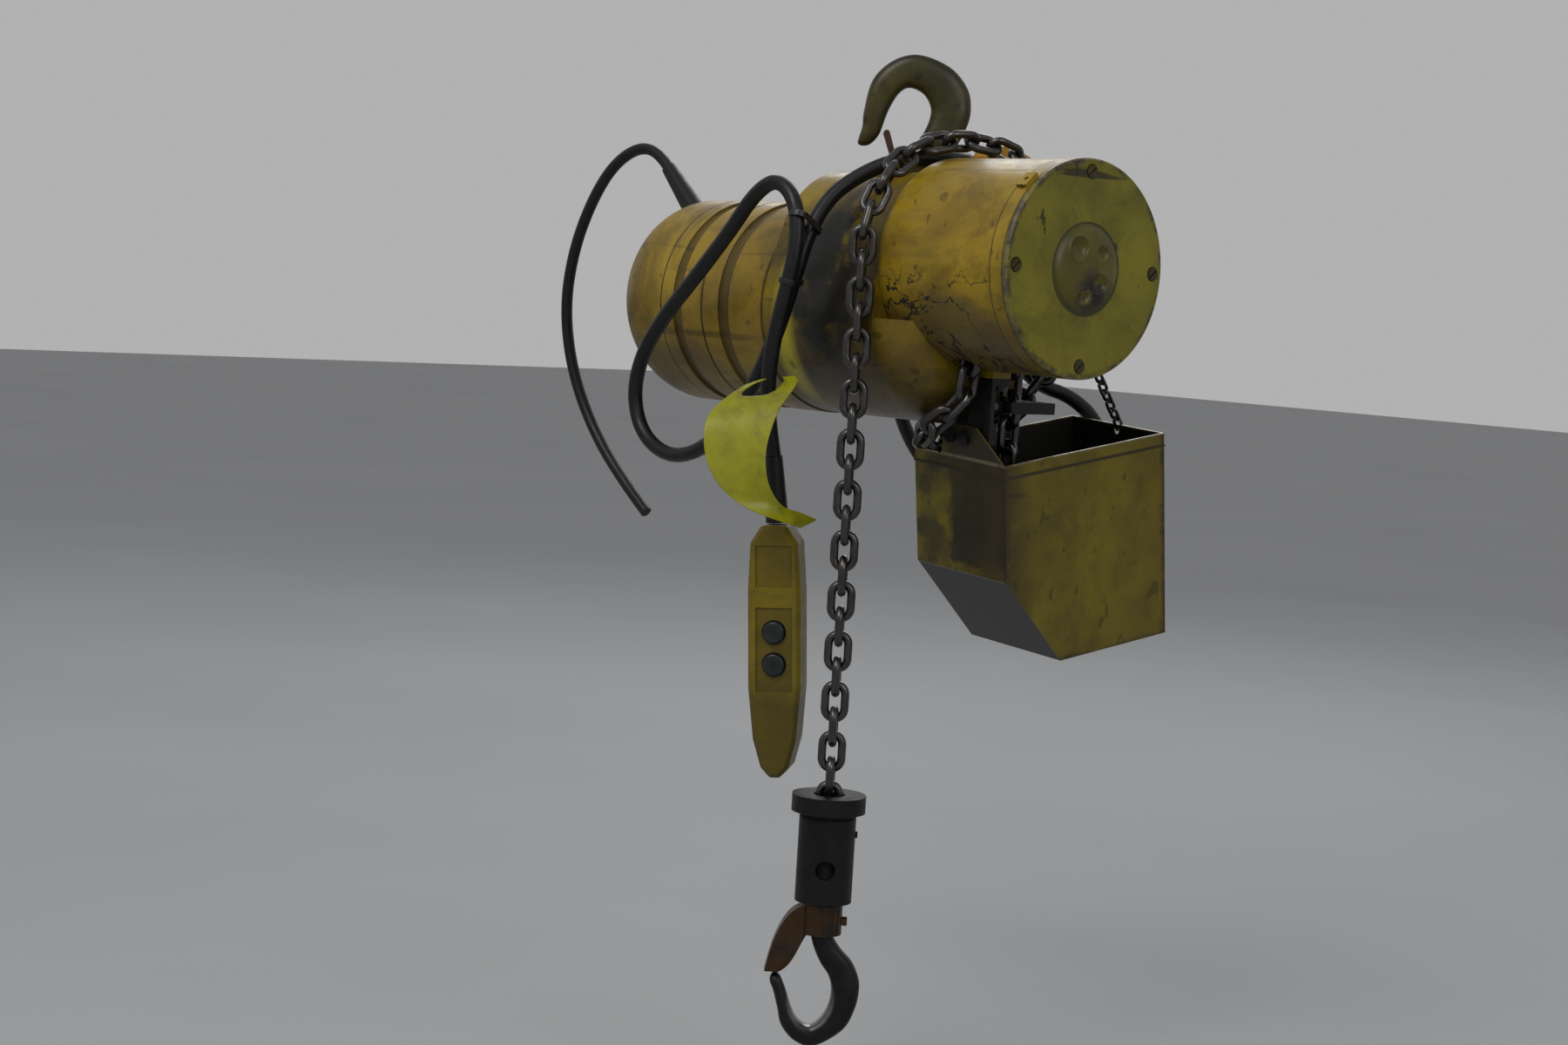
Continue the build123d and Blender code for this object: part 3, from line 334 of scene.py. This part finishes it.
def make_materials():
    made = {}
    s = enamel("body_paint", (0.205, 0.128, 0.0022), (0.31, 0.205, 0.005), (0.085, 0.042, 0.0015),
               grime=0.8)
    # Painted shade: surfaces facing down are darker
    low = s.calc("MULTIPLY", s.span(s.facing("Z"), -0.15, -0.85), 0.55)
    s.layer(low, (0.045, 0.028, 0.004), rough=0.6)
    soot = s.calc("MULTIPLY", s.span(s.noise(9, 8, 0.62, stretch=(0.6, 1, 1.6, 0, 0, 0)), 0.52, 0.68), 0.6)
    s.layer(soot, (0.045, 0.032, 0.012), rough=0.55)
    x = s.calc("MULTIPLY", s.axis("X"), 1000.0)
    ragged = s.span(s.noise(26, 6, 0.6), 0.3, 0.7, -0.22, 0.22)
    # Painted reflection and wear: grey-brown on the gear housing's downward faces, partly floor light
    # reflected under the casing, partly worn paint
    worn = s.both(s.span(s.calc("ADD", s.facing("Z"), ragged), -0.35, -0.5),
                  s.band(x, 128, 56, 6), s.span(s.axis("Z"), -0.13, -0.14))
    s.layer(s.calc("MULTIPLY", worn, 0.55), (0.075, 0.055, 0.022), rough=0.5)
    crack = s.both(s.band(s.noise(19, 5, 0.55, warp=0.6), 0.5, 0.006, 0.006), s.band(x, 125, 62, 12),
                   s.span(s.facing("Z"), 0.0, -0.25))
    s.layer(crack, (0.012, 0.009, 0.006), rough=0.7, depth=0.2)
    # Painted groove shade and dark seam lines
    for middle, half, share in CASING_SEAMS_AND_GROOVE_SHADE:
        s.layer(s.calc("MULTIPLY", s.band(x, middle, half, 0.6), share), (0.03, 0.02, 0.004), rough=0.6)
    made["body_paint"] = s.finish(0.25)
    # A darker, browner copy of the body enamel: painted shade for the frame set back between the casings,
    # with heavier grime
    s = enamel("frame_paint", (0.16, 0.10, 0.003), (0.26, 0.18, 0.006), (0.05, 0.03, 0.003),
               grime=1.0, chips=0.8)
    # Painted shade: surfaces facing down are darker
    low = s.calc("MULTIPLY", s.span(s.facing("Z"), 0.1, -0.6), 0.7)
    s.layer(low, (0.03, 0.018, 0.003), rough=0.5)
    # Painted shade: a dark patch on the recessed lower front of the frame
    frame_recess_shade = s.calc("MULTIPLY", s.near((8, -82, -150), 52, 18, (1, 1, 0.55)),
                 s.span(s.noise(30, 7, 0.6), 0.25, 0.5))
    s.layer(frame_recess_shade, (0.006, 0.005, 0.002), rough=0.35)
    # Painted highlight on the fillet where the frame curves in from the motor housing
    frame_highlight = s.calc("MULTIPLY", s.near((-40, -60, -190), 20, 7, (1.6, 0.6, 0.35)),
                    s.span(s.noise(45, 6, 0.6), 0.3, 0.45))
    s.layer(frame_highlight, (0.34, 0.30, 0.01), rough=0.4)
    # Painted shade tone: the orange the frame's rear-top crescent shows as a face turned from the light
    s.layer(s.near((41, 75, -60), 60, 12), (0.36, 0.17, 0.004), rough=0.45)
    made["frame_paint"] = s.finish(0.2)
    s = enamel("cover_paint", (0.125, 0.108, 0.0010), (0.175, 0.155, 0.002), (0.055, 0.040, 0.001),
               grime=0.6, scratch=0.9)
    edge = s.span(s.radius(GEAR_Z), 0.0755, 0.0790)
    worn = s.calc("MULTIPLY", edge, s.span(s.noise(60, 8, 0.7), 0.44, 0.56))
    s.layer(worn, (0.035, 0.028, 0.018), rough=0.45, metal=0.4, depth=0.1)
    # Painted shade: a dark ring in the crease around the cap's dome
    crease_shade = s.band(s.calc("MULTIPLY", s.radius(GEAR_Z), 1000.0), 33.4, 0.8, 0.9)
    s.layer(s.calc("MULTIPLY", crease_shade, 0.85), (0.02, 0.016, 0.003), rough=0.6)
    rim = s.calc("MULTIPLY", s.span(s.radius(GEAR_Z), 0.0788, 0.0798),
                 s.span(s.noise(85, 8, 0.7), 0.40, 0.5))
    s.layer(s.calc("MULTIPLY", rim, 0.35), (0.20, 0.17, 0.10), rough=0.38, metal=0.8)
    made["cover_paint"] = s.finish(0.25)
    s = enamel("cap_paint", (0.065, 0.056, 0.0008), (0.10, 0.088, 0.0015), (0.03, 0.022, 0.001), grime=0.7)
    patch = s.calc("MULTIPLY", s.near((207, 6, GEAR_Z - 17), 15, 6),
                   s.span(s.noise(75, 8, 0.7), 0.40, 0.48))
    s.layer(patch, (0.013, 0.011, 0.009), rough=0.5, metal=0.3, depth=0.1)
    # Painted shade: the dome's shoulder is darker
    shoulder = s.span(s.radius(GEAR_Z), 0.0295, 0.0325)
    s.layer(s.calc("MULTIPLY", shoulder, 0.6), (0.03, 0.025, 0.004), rough=0.5)
    made["cap_paint"] = s.finish(0.3)
    made["box_paint"] = box_material()
    s = enamel("hook_paint", (0.026, 0.022, 0.0022), (0.055, 0.047, 0.004), (0.012, 0.010, 0.003),
               grime=0.9, chips=1.1)
    top = s.calc("MULTIPLY", s.span(s.facing("Z"), 0.1, 0.85), 0.85)
    s.layer(top, (0.011, 0.010, 0.008), rough=0.42, metal=0.4)
    made["hook_paint"] = s.finish(0.15)
    s = steel("chain_steel", (0.075, 0.070, 0.066), rough=0.22, stain=0.55,
              stain_colour=(0.008, 0.007, 0.006), grain=0.08)
    made["chain_steel"] = s.finish(0.5)
    s = steel("block_steel", (0.008, 0.008, 0.008), rough=0.5, metal=0.5, stain=0.45,
              stain_colour=(0.01, 0.009, 0.008), grain=0.15)
    made["block_steel"] = s.finish(0.05)
    s = steel("low_hook_steel", (0.016, 0.0155, 0.0155), rough=0.40, metal=0.75, stain=0.4,
              stain_colour=(0.01, 0.009, 0.008), grain=0.12)
    turn = math.radians(HOOK_TURN)
    bowl = (HANG[0] - 5 * math.cos(turn), HANG[1] - 5 * math.sin(turn), BLOCK_END - 76)
    rub = s.calc("MULTIPLY", s.near(bowl, 18.5, 1.6, (1, 1, 0.8)), s.span(s.noise(50, 6, 0.6), 0.3, 0.5))
    s.layer(rub, (0.22, 0.21, 0.20), rough=0.25, metal=1.0)
    made["low_hook_steel"] = s.finish(0.15)
    made["bare_steel"] = steel("bare_steel", (0.30, 0.29, 0.27), rough=0.36, stain=0.35).finish()
    s = steel("dark_steel", (0.008, 0.008, 0.008), rough=0.6, metal=0.2, stain=0.3)
    made["dark_steel"] = s.finish()
    made["screw_steel"] = steel("screw_steel", (0.10, 0.085, 0.04), rough=0.4, stain=0.7).finish()
    s = steel("black_steel", (0.008, 0.008, 0.008), rough=0.4, metal=0.3, stain=0.3)
    made["black_steel"] = s.finish(0.2)
    s = steel("bronze", (0.085, 0.045, 0.02), rough=0.30, metal=0.95, stain=1.0,
              stain_colour=(0.012, 0.008, 0.005))
    made["bronze"] = s.finish(0.1)
    made["copper"] = steel("copper", (0.55, 0.24, 0.1), rough=0.35, stain=0.2).finish(0.4)
    s = steel("rust_steel", (0.07, 0.04, 0.025), rough=0.6, metal=0.35, stain=0.5,
              stain_colour=(0.06, 0.022, 0.01))
    made["rust_steel"] = s.finish()
    made["cord_rubber"] = polymer("cord_rubber", (0.0045, 0.0045, 0.005), 0.42, dust=0.12,
                                  dust_colour=(0.03, 0.028, 0.025)).finish(0.1)
    made["insulation"] = polymer("insulation", (0.006, 0.006, 0.006), 0.4, dust=0.1).finish(0.2)
    s = polymer("handset_plastic", (0.17, 0.125, 0.0012), 0.40, dust=0.3, dust_colour=(0.04, 0.026, 0.002))
    smear = s.calc("MULTIPLY", s.span(s.noise(24, 9, 0.66, warp=0.6), 0.50, 0.7), 0.6)
    s.layer(smear, (0.05, 0.033, 0.003), rough=0.5)
    x, y, z = s.local(HANDSET_TOP, (HANDSET_TURN, "Z"), (HANDSET_LEAN, "Y"))
    face = s.both(s.span(y, -15.2, -16.2), s.span(s.calc("ABSOLUTE", x), 14.6, 13.8))
    # Painted shade: the two recessed panels on the handset's face are darker
    recess_shade = s.both(face, s.band(z, -31, 15.6, 0.8))
    s.layer(s.calc("MULTIPLY", recess_shade, 0.62), (0.05, 0.036, 0.002), rough=0.5)
    recess_shade = s.both(face, s.band(z, -95.5, 32, 0.8))
    s.layer(s.calc("MULTIPLY", recess_shade, 0.85), (0.022, 0.014, 0.001), rough=0.5)
    s.layer(s.span(z, -122, -140, 0, 0.7), (0.045, 0.030, 0.001), rough=0.45)
    made["handset_plastic"] = s.finish(0.15)
    made["button_plastic"] = polymer("button_plastic", (0.010, 0.015, 0.016), 0.3, dust=0.2,
                                     dust_colour=(0.06, 0.06, 0.055)).finish(0.25)
    s = polymer("tag_plastic", (0.27, 0.265, 0.003), 0.28, dust=0.3, dust_colour=(0.15, 0.13, 0.01),
                grain=0.02)
    rubbed = s.calc("MULTIPLY", s.span(s.noise(30, 9, 0.7, warp=0.5), 0.52, 0.68), 0.55)
    s.layer(rubbed, (0.07, 0.06, 0.004), rough=0.5)
    made["tag_plastic"] = s.finish(0.3)
    return made


MATERIALS = make_materials()
# hook_nut takes near-black dark_steel so the bore through the block reads black: painted shade in the bore
OWN_FINISH = {"centre_frame": "frame_paint", "rear_cover": "frame_paint", "low_hook": "low_hook_steel",
              "cover_screws": "screw_steel", "hook_nut": "dark_steel", "case_screws": "black_steel",
              "handset_screws": "dark_steel"}


# ---------------------------------------------------------------- mesh helpers
def new_piece(name, mesh, body, material, nodes=()):
    piece = bpy.data.objects.new(name, mesh)
    bpy.context.scene.collection.objects.link(piece)
    piece.data.materials.append(MATERIALS[material])
    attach(piece, body)
    if nodes:
        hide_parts(*nodes)
    return piece


def smooth(mesh, angle=40):
    mesh.shade_smooth()
    mesh.set_sharp_from_angle(angle=math.radians(angle))


def soften(node, width, angle=35):
    """Round a CAD node's hard edges with a bevel."""
    piece = NODES[node]
    weld = piece.modifiers.new("weld", "WELD")
    weld.merge_threshold = 2e-6
    bevel = piece.modifiers.new("bevel", "BEVEL")
    bevel.width = width * MM
    bevel.segments = 3
    bevel.limit_method = "ANGLE"
    bevel.angle_limit = math.radians(angle)
    piece.modifiers.new("normals", "WEIGHTED_NORMAL")


def catmull(points, steps):
    """Smooth line through points, given as tuples of any length."""
    out = []
    full = [points[0]] + list(points) + [points[-1]]
    for a, b, c, d in zip(full, full[1:], full[2:], full[3:]):
        for k in range(steps):
            t = k / steps
            out.append(tuple(0.5 * (2 * q + (r - p) * t + (2 * p - 5 * q + 4 * r - s) * t * t
                                    + (3 * q - p - 3 * r + s) * t ** 3) for p, q, r, s in zip(a, b, c, d)))
    out.append(tuple(points[-1]))
    return out


def forging(name, stations, power=2.7, steps=6, around=36, tip=True):
    """A forged hook: rounded sections between an inner and an outer line, in the hook's own XZ plane.
    A station is (inner x, inner z, outer x, outer z, thickness) in mm."""
    rows = catmull(stations, steps)
    mesh = bmesh.new()
    rings = []
    for xi, zi, xo, zo, thick in rows:
        ring = []
        for k in range(around):
            a = 2 * math.pi * k / around
            c, s = math.cos(a), math.sin(a)
            c = math.copysign(abs(c) ** (2 / power), c)
            s = math.copysign(abs(s) ** (2 / power), s)
            x, z = (xi + xo) / 2 + c * (xo - xi) / 2, (zi + zo) / 2 + c * (zo - zi) / 2
            ring.append(mesh.verts.new((x * MM, s * thick / 2 * MM, z * MM)))
        rings.append(ring)
    for a, b in zip(rings, rings[1:]):
        for k in range(around):
            mesh.faces.new((a[k], a[(k + 1) % around], b[(k + 1) % around], b[k]))
    mesh.faces.new(rings[0][::-1])
    if tip:
        mesh.faces.new(rings[-1])
    bmesh.ops.recalc_face_normals(mesh, faces=mesh.faces)
    data = bpy.data.meshes.new(name)
    mesh.to_mesh(data)
    mesh.free()
    return data


def add_rod(mesh, r, start, end, around=24, r_end=None):
    """Add a rod between two points (mm) to a bmesh."""
    a, b = Vector(start) * MM, Vector(end) * MM
    rot = (b - a).to_track_quat("Z", "Y").to_matrix().to_4x4()
    place = Matrix.Translation((a + b) / 2) @ rot
    bmesh.ops.create_cone(mesh, cap_ends=True, segments=around, radius1=r * MM,
                          radius2=(r if r_end is None else r_end) * MM, depth=(b - a).length, matrix=place)


# ---------------------------------------------------------------- cords
PENDANT_ROUTE = [
    (41, 94.5, -190), (41.5, 96, -208), (48, 114, -226), (56, 146, -234), (60, 176, -256),
    (52, 197, -296), (16, 206, -338), (-30, 204, -356), (-76, 192, -350), (-112, 170, -324),
    (-132, 142, -284), (-130, 120, -238), (-106, 110, -194), (-70, 108, -152), (-34, 106, -112),
    (-10, 88, -74), (8, 62, -54), (22, 44, -52), (35, 26, -53), (38, 6, -54), (30, -14, -55),
    (18, -33, -60), (7, -54, -72), (0, -76, -90), (1, -95, -118), (0, -105, -152), (-12, -108, -192),
    (-34, -108, -232), (-66, -106, -268), (-104, -105, -294), (-144, -106, -302), (-178, -108, -286),
    (-190, -110, -254), (-178, -112, -220), (-148, -114, -188), (-108, -116, -156),
    (-66, -118, -120), (-38, -118, -90), (-14, -116, -78), (8, -115, -94), (14, -116, -126),
    (9, -120, -162), (0, -122, -198), (-8, -119, -232), (-13, -112, -262), (-15, -103, -290)]
POWER_ROUTE = [
    (-303, 0, -64), (-319, 0, -49.5), (-342, -5, -46), (-368, -12, -62), (-392, -16, -94),
    (-410, -20, -138), (-419, -20, -188), (-414, -14, -240), (-394, -6, -288), (-356, 0, -332),
    (-314, 4, -364)]


def make_cord(name, route, diameter, node):
    curve = bpy.data.curves.new(name, "CURVE")
    curve.dimensions = "3D"
    spline = curve.splines.new("NURBS")
    spline.points.add(len(route) - 1)
    for point, place in zip(spline.points, route):
        point.co = (*[v * MM for v in place], 1)
    spline.order_u = 3
    spline.use_endpoint_u = True
    spline.resolution_u = 14
    curve.bevel_depth = diameter / 2 * MM
    curve.bevel_resolution = 8
    curve.use_fill_caps = True
    return new_piece(name, curve, "hoist_body", "cord_rubber", [node])


pendant = make_cord("pendant_lead", PENDANT_ROUTE, PENDANT_CORD_D, "pendant_cord")
power = make_cord("power_lead", POWER_ROUTE, POWER_CORD_D, "power_cord")


# ---------------------------------------------------------------- hooks
def turned(data, x=0.0, y=0.0):
    turn = Matrix.Rotation(math.radians(HOOK_TURN), 4, "Z")
    data.transform(Matrix.Translation((x * MM, y * MM, 0)) @ turn)


def make_top_hook():
    c = -17.5
    stations = [
        (-12, c - 60, 12, c - 60, 24), (-12, c - 54, 12.5, c - 54, 23), (-11.5, c - 47, 17, c - 47, 21.5),
        (-4, c - 37.5, 28, c - 37.5, 20.5), (4, c - 28.5, 39, c - 26, 20), (12, c - 18.5, 46, c - 12, 20),
        (17, c - 6, 49, c + 3, 20), (17.2, c + 4, 45, c + 20, 20), (11, c + 13.5, 30, c + 36, 20),
        (0, c + 17.5, 5.5, c + 44, 20), (-8, c + 12.5, -14, c + 38, 19.5), (-14, c + 2, -29, c + 22, 19),
        (-17, c - 6, -34.4, c - 2, 18), (-19, c - 13, -34.9, c - 14, 16.5),
        (-21.5, c - 20, -37, c - 22.5, 15), (-25, c - 25, -37.8, c - 27, 12.5),
        (-28.5, c - 28, -36, c - 28.9, 7), (-31, c - 29, -33.5, c - 29.3, 2.5)]
    data = forging("top_hook_forging", stations, power=2.8)
    mesh = bmesh.new()
    mesh.from_mesh(data)
    for side in (-1, 1):
        add_rod(mesh, 3.4, (-9, side * 6.5, c - 38), (-9, side * 9.5, c - 38))
    add_rod(mesh, 11.95, (0, 0, -126), (0, 0, -76), 48)
    mesh.to_mesh(data)
    mesh.free()
    turned(data)
    smooth(data, 50)
    return new_piece("top_hook_forging", data, "suspension_hook", "hook_paint", ["top_hook"])


def make_low_hook():
    t = BLOCK_END
    stations = [
        (-9.2, t - 12, 9.2, t - 12, 18.4), (-9, t - 20, 9, t - 20, 18), (-7.6, t - 27, 9.6, t - 27, 17),
        (-4.5, t - 37, 15.5, t - 36, 17), (1, t - 48, 25, t - 46, 17), (7.5, t - 57, 30.3, t - 57, 17),
        (10.2, t - 67, 31.8, t - 67, 17), (9, t - 79, 29.5, t - 82, 17), (4, t - 89.5, 21, t - 99, 17),
        (-4, t - 96.5, 0, t - 112.5, 17), (-13, t - 93, -15, t - 109.5, 16.5),
        (-18.5, t - 85, -26, t - 98, 15.5), (-22, t - 76, -30, t - 84, 14),
        (-25, t - 68, -33.5, t - 72, 12.5), (-27.5, t - 62.5, -36.6, t - 64.5, 11),
        (-29.5, t - 59, -36.4, t - 60, 7), (-32, t - 57.2, -34.8, t - 57.6, 2.5)]
    data = forging("load_hook_forging", stations, power=2.5)
    turned(data, *HANG)
    smooth(data, 50)
    return new_piece("load_hook_forging", data, "load_hook", "low_hook_steel", ["low_hook"])


make_top_hook()
make_low_hook()


# ---------------------------------------------------------------- end cap, tag
def make_cap():
    """Pressed dome on the end cover: a raised disc with a rounded shoulder and four dents."""
    x0, radius, rings, around = COVER_X, 33.0, 44, 120
    dents = ((-11, 15, 8.5, 3.0), (12, -10, 7.5, 2.8), (-4, -20, 5.5, 1.8), (13, 12, 6.0, 1.6))
    mesh = bmesh.new()
    rows = []
    for j in range(rings + 1):
        r = radius * (1 - j / rings)
        row = []
        for k in range(around):
            a = 2 * math.pi * k / around
            y, z = r * math.cos(a), r * math.sin(a)
            u = r / radius
            height = 3.1 * (1 - u ** 9) + 0.8 * (1 - u * u)
            for dy, dz, size, depth in dents:
                d = math.hypot(y - dy, z - dz) / size
                height += 0.25 * depth * math.exp(-((d - 1.05) / 0.16) ** 2) * (1 - u ** 6)
                if d < 1:
                    height -= depth * (1 - d * d) ** 0.7
            height = min(height, 3.95)
            row.append(mesh.verts.new(((x0 + height) * MM, y * MM, (GEAR_Z + z) * MM)))
            if j == rings:
                break
        rows.append(row)
    for a, b in zip(rows, rows[1:]):
        for k in range(around):
            n = (k + 1) % around
            if len(b) == 1:
                mesh.faces.new((a[k], a[n], b[0]))
            else:
                mesh.faces.new((a[k], a[n], b[n], b[k]))
    mesh.faces.new(rows[0][::-1])
    bmesh.ops.recalc_face_normals(mesh, faces=mesh.faces)
    data = bpy.data.meshes.new("cover_dome")
    mesh.to_mesh(data)
    mesh.free()
    smooth(data, 50)
    new_piece("cover_dome", data, "hoist_body", "cap_paint", ["end_cover_cap"])


TAG_EDGES = [
    ((-12.2, -128.8, -231.7), (15.7, -104.2, -225.4)), ((-10.5, -153.2, -242.7), (21.9, -117.1, -237.2)),
    ((-8.8, -175.1, -258.1), (24.7, -131.2, -251.7)), ((-3.8, -183.2, -274.2), (27.6, -140.8, -268.0)),
    ((1.8, -183.0, -293.3), (29.1, -145.9, -284.2)), ((10.3, -176.4, -310.8), (30.6, -144.9, -302.4)),
    ((20.2, -161.7, -324.3), (31.0, -138.3, -315.4)), ((32.1, -145.5, -332.3), (30.4, -127.7, -324.7)),
    ((33.9, -125.3, -337.6), (26.2, -108.4, -329.2)), ((26.0, -107.2, -341.9), (25.1, -88.7, -335.5))]


def make_tag():
    """The blank tag: a thin strip through its rows, with the cord's slot near the top."""
    rows = catmull([(*a, *b) for a, b in TAG_EDGES], 6)
    columns = 16
    mesh = bmesh.new()
    grid = []
    for row in rows:
        places = [[(p + (q - p) * k / columns) * MM for p, q in zip(row[:3], row[3:])]
                  for k in range(columns + 1)]
        grid.append([mesh.verts.new(place) for place in places])
    for i, (a, b) in enumerate(zip(grid, grid[1:])):
        for k in range(columns):
            in_slot = ((k - 6.5) / 4.3) ** 2 + ((i - 3.2) / 3.6) ** 2 < 1
            corner = i < 2 and (k < 2 - i or k > columns - 3 + i)
            if not in_slot and not corner:
                mesh.faces.new((a[k], a[k + 1], b[k + 1], b[k]))
    loose = [v for v in mesh.verts if not v.link_faces]
    bmesh.ops.delete(mesh, geom=loose, context="VERTS")
    for _ in range(3):
        edge = [v for v in mesh.verts if v.is_boundary]
        bmesh.ops.smooth_vert(mesh, verts=edge, factor=0.5,
                              use_axis_x=True, use_axis_y=True, use_axis_z=True)
    data = bpy.data.meshes.new("blank_tag")
    mesh.to_mesh(data)
    mesh.free()
    data.shade_smooth()
    piece = new_piece("blank_tag", data, "hoist_body", "tag_plastic", ["warning_tag"])
    piece.modifiers.new("soft", "SUBSURF").levels = 1
    piece.modifiers["soft"].render_levels = 1
    thick = piece.modifiers.new("thick", "SOLIDIFY")
    thick.thickness = 0.9 * MM
    thick.offset = 0


def make_arrow(name, body, z, up):
    """A small raised arrow on a button's face."""
    place = (Matrix.Translation(Vector(HANDSET_TOP) * MM)
             @ Matrix.Rotation(math.radians(HANDSET_TURN), 4, "Z")
             @ Matrix.Rotation(math.radians(HANDSET_LEAN), 4, "Y"))
    side = 1 if up else -1
    outline = [(-2.6, 0.2), (0, 3.6), (2.6, 0.2), (0.9, 0.2), (0.9, -3.2), (-0.9, -3.2), (-0.9, 0.2)]
    mesh = bmesh.new()
    corners = [mesh.verts.new((x * MM, -20.02 * MM, (z + side * h) * MM)) for x, h in outline]
    face = mesh.faces.new(corners)
    pulled = bmesh.ops.extrude_face_region(mesh, geom=[face])["geom"]
    moved = [v for v in pulled if isinstance(v, bmesh.types.BMVert)]
    bmesh.ops.translate(mesh, verts=moved, vec=(0, -0.35 * MM, 0))
    bmesh.ops.transform(mesh, matrix=place, verts=mesh.verts)
    bmesh.ops.recalc_face_normals(mesh, faces=mesh.faces)
    data = bpy.data.meshes.new(name)
    mesh.to_mesh(data)
    mesh.free()
    new_piece(name, data, body, "insulation")


make_cap()
make_tag()
make_arrow("arrow_up", "up_button", -82, True)
make_arrow("arrow_down", "down_button", -107, False)

# ---------------------------------------------------------------- carried-over nodes
# Bevel width in mm on each CAD node's hard edges
EDGE_WIDTHS = {
    "centre_frame": 1.6, "rear_cover": 1.2, "motor_housing": 0.7, "gear_housing": 1.0, "cover_ring": 0.8,
    "end_cover": 0.5, "cover_screws": 0.35, "chain_box": 0.45, "container_bracket": 0.6, "limit_lever": 0.6,
    "block_collar": 0.9, "block_body": 0.8, "hook_gate": 1.3, "case_screws": 0.4, "handset_front": 0.9,
    "handset_back": 1.6, "zip_ties": 0.5, "hook_latch": 0.5, "handset_screws": 0.2,
    "power_strain_relief": 0.8, "cord_sleeve": 0.8, "pendant_gland": 0.8}

for name, width in EDGE_WIDTHS.items():
    soften(name, width)

for node, piece in NODES.items():
    finish = next(p["material_slot"] for p in frame["record"]["subparts"] if p["node"] == node)
    piece.data.materials.clear()
    piece.data.materials.append(MATERIALS[OWN_FINISH.get(node, finish)])


# ---------------------------------------------------------------- studio
def make_studio():
    floor_z = cad_low.z - FLOOR_GAP
    data = bpy.data.meshes.new("floor")
    mesh = bmesh.new()
    bmesh.ops.create_grid(mesh, x_segments=2, y_segments=2, size=FLOOR_HALF)
    mesh.to_mesh(data)
    mesh.free()
    floor = bpy.data.objects.new("floor", data)
    bpy.context.scene.collection.objects.link(floor)
    floor.location.z = floor_z
    s = Shade("floor", (0.30, 0.31, 0.315), 0.75)
    s.colour = s.mix(s.noise(1.5, 4, 0.5), s.colour, (0.36, 0.37, 0.375))
    data.materials.append(s.finish())
    world = bpy.data.worlds.new("studio")
    world.use_nodes = True
    background = world.node_tree.nodes["Background"]
    background.inputs["Color"].default_value = (*BACKGROUND, 1)
    background.inputs["Strength"].default_value = BACKGROUND_STRENGTH
    bpy.context.scene.world = world
    bpy.context.scene.view_settings.view_transform = "Standard"
    for name, place, size, watts in LIGHTS:
        light = bpy.data.lights.new(name, "AREA")
        light.size, light.energy = size, watts
        lamp = bpy.data.objects.new(name, light)
        bpy.context.scene.collection.objects.link(lamp)
        lamp.location = place
        lamp.rotation_mode = "QUATERNION"
        lamp.rotation_quaternion = (Vector(AIM) - Vector(place)).to_track_quat("-Z", "Y")


make_studio()
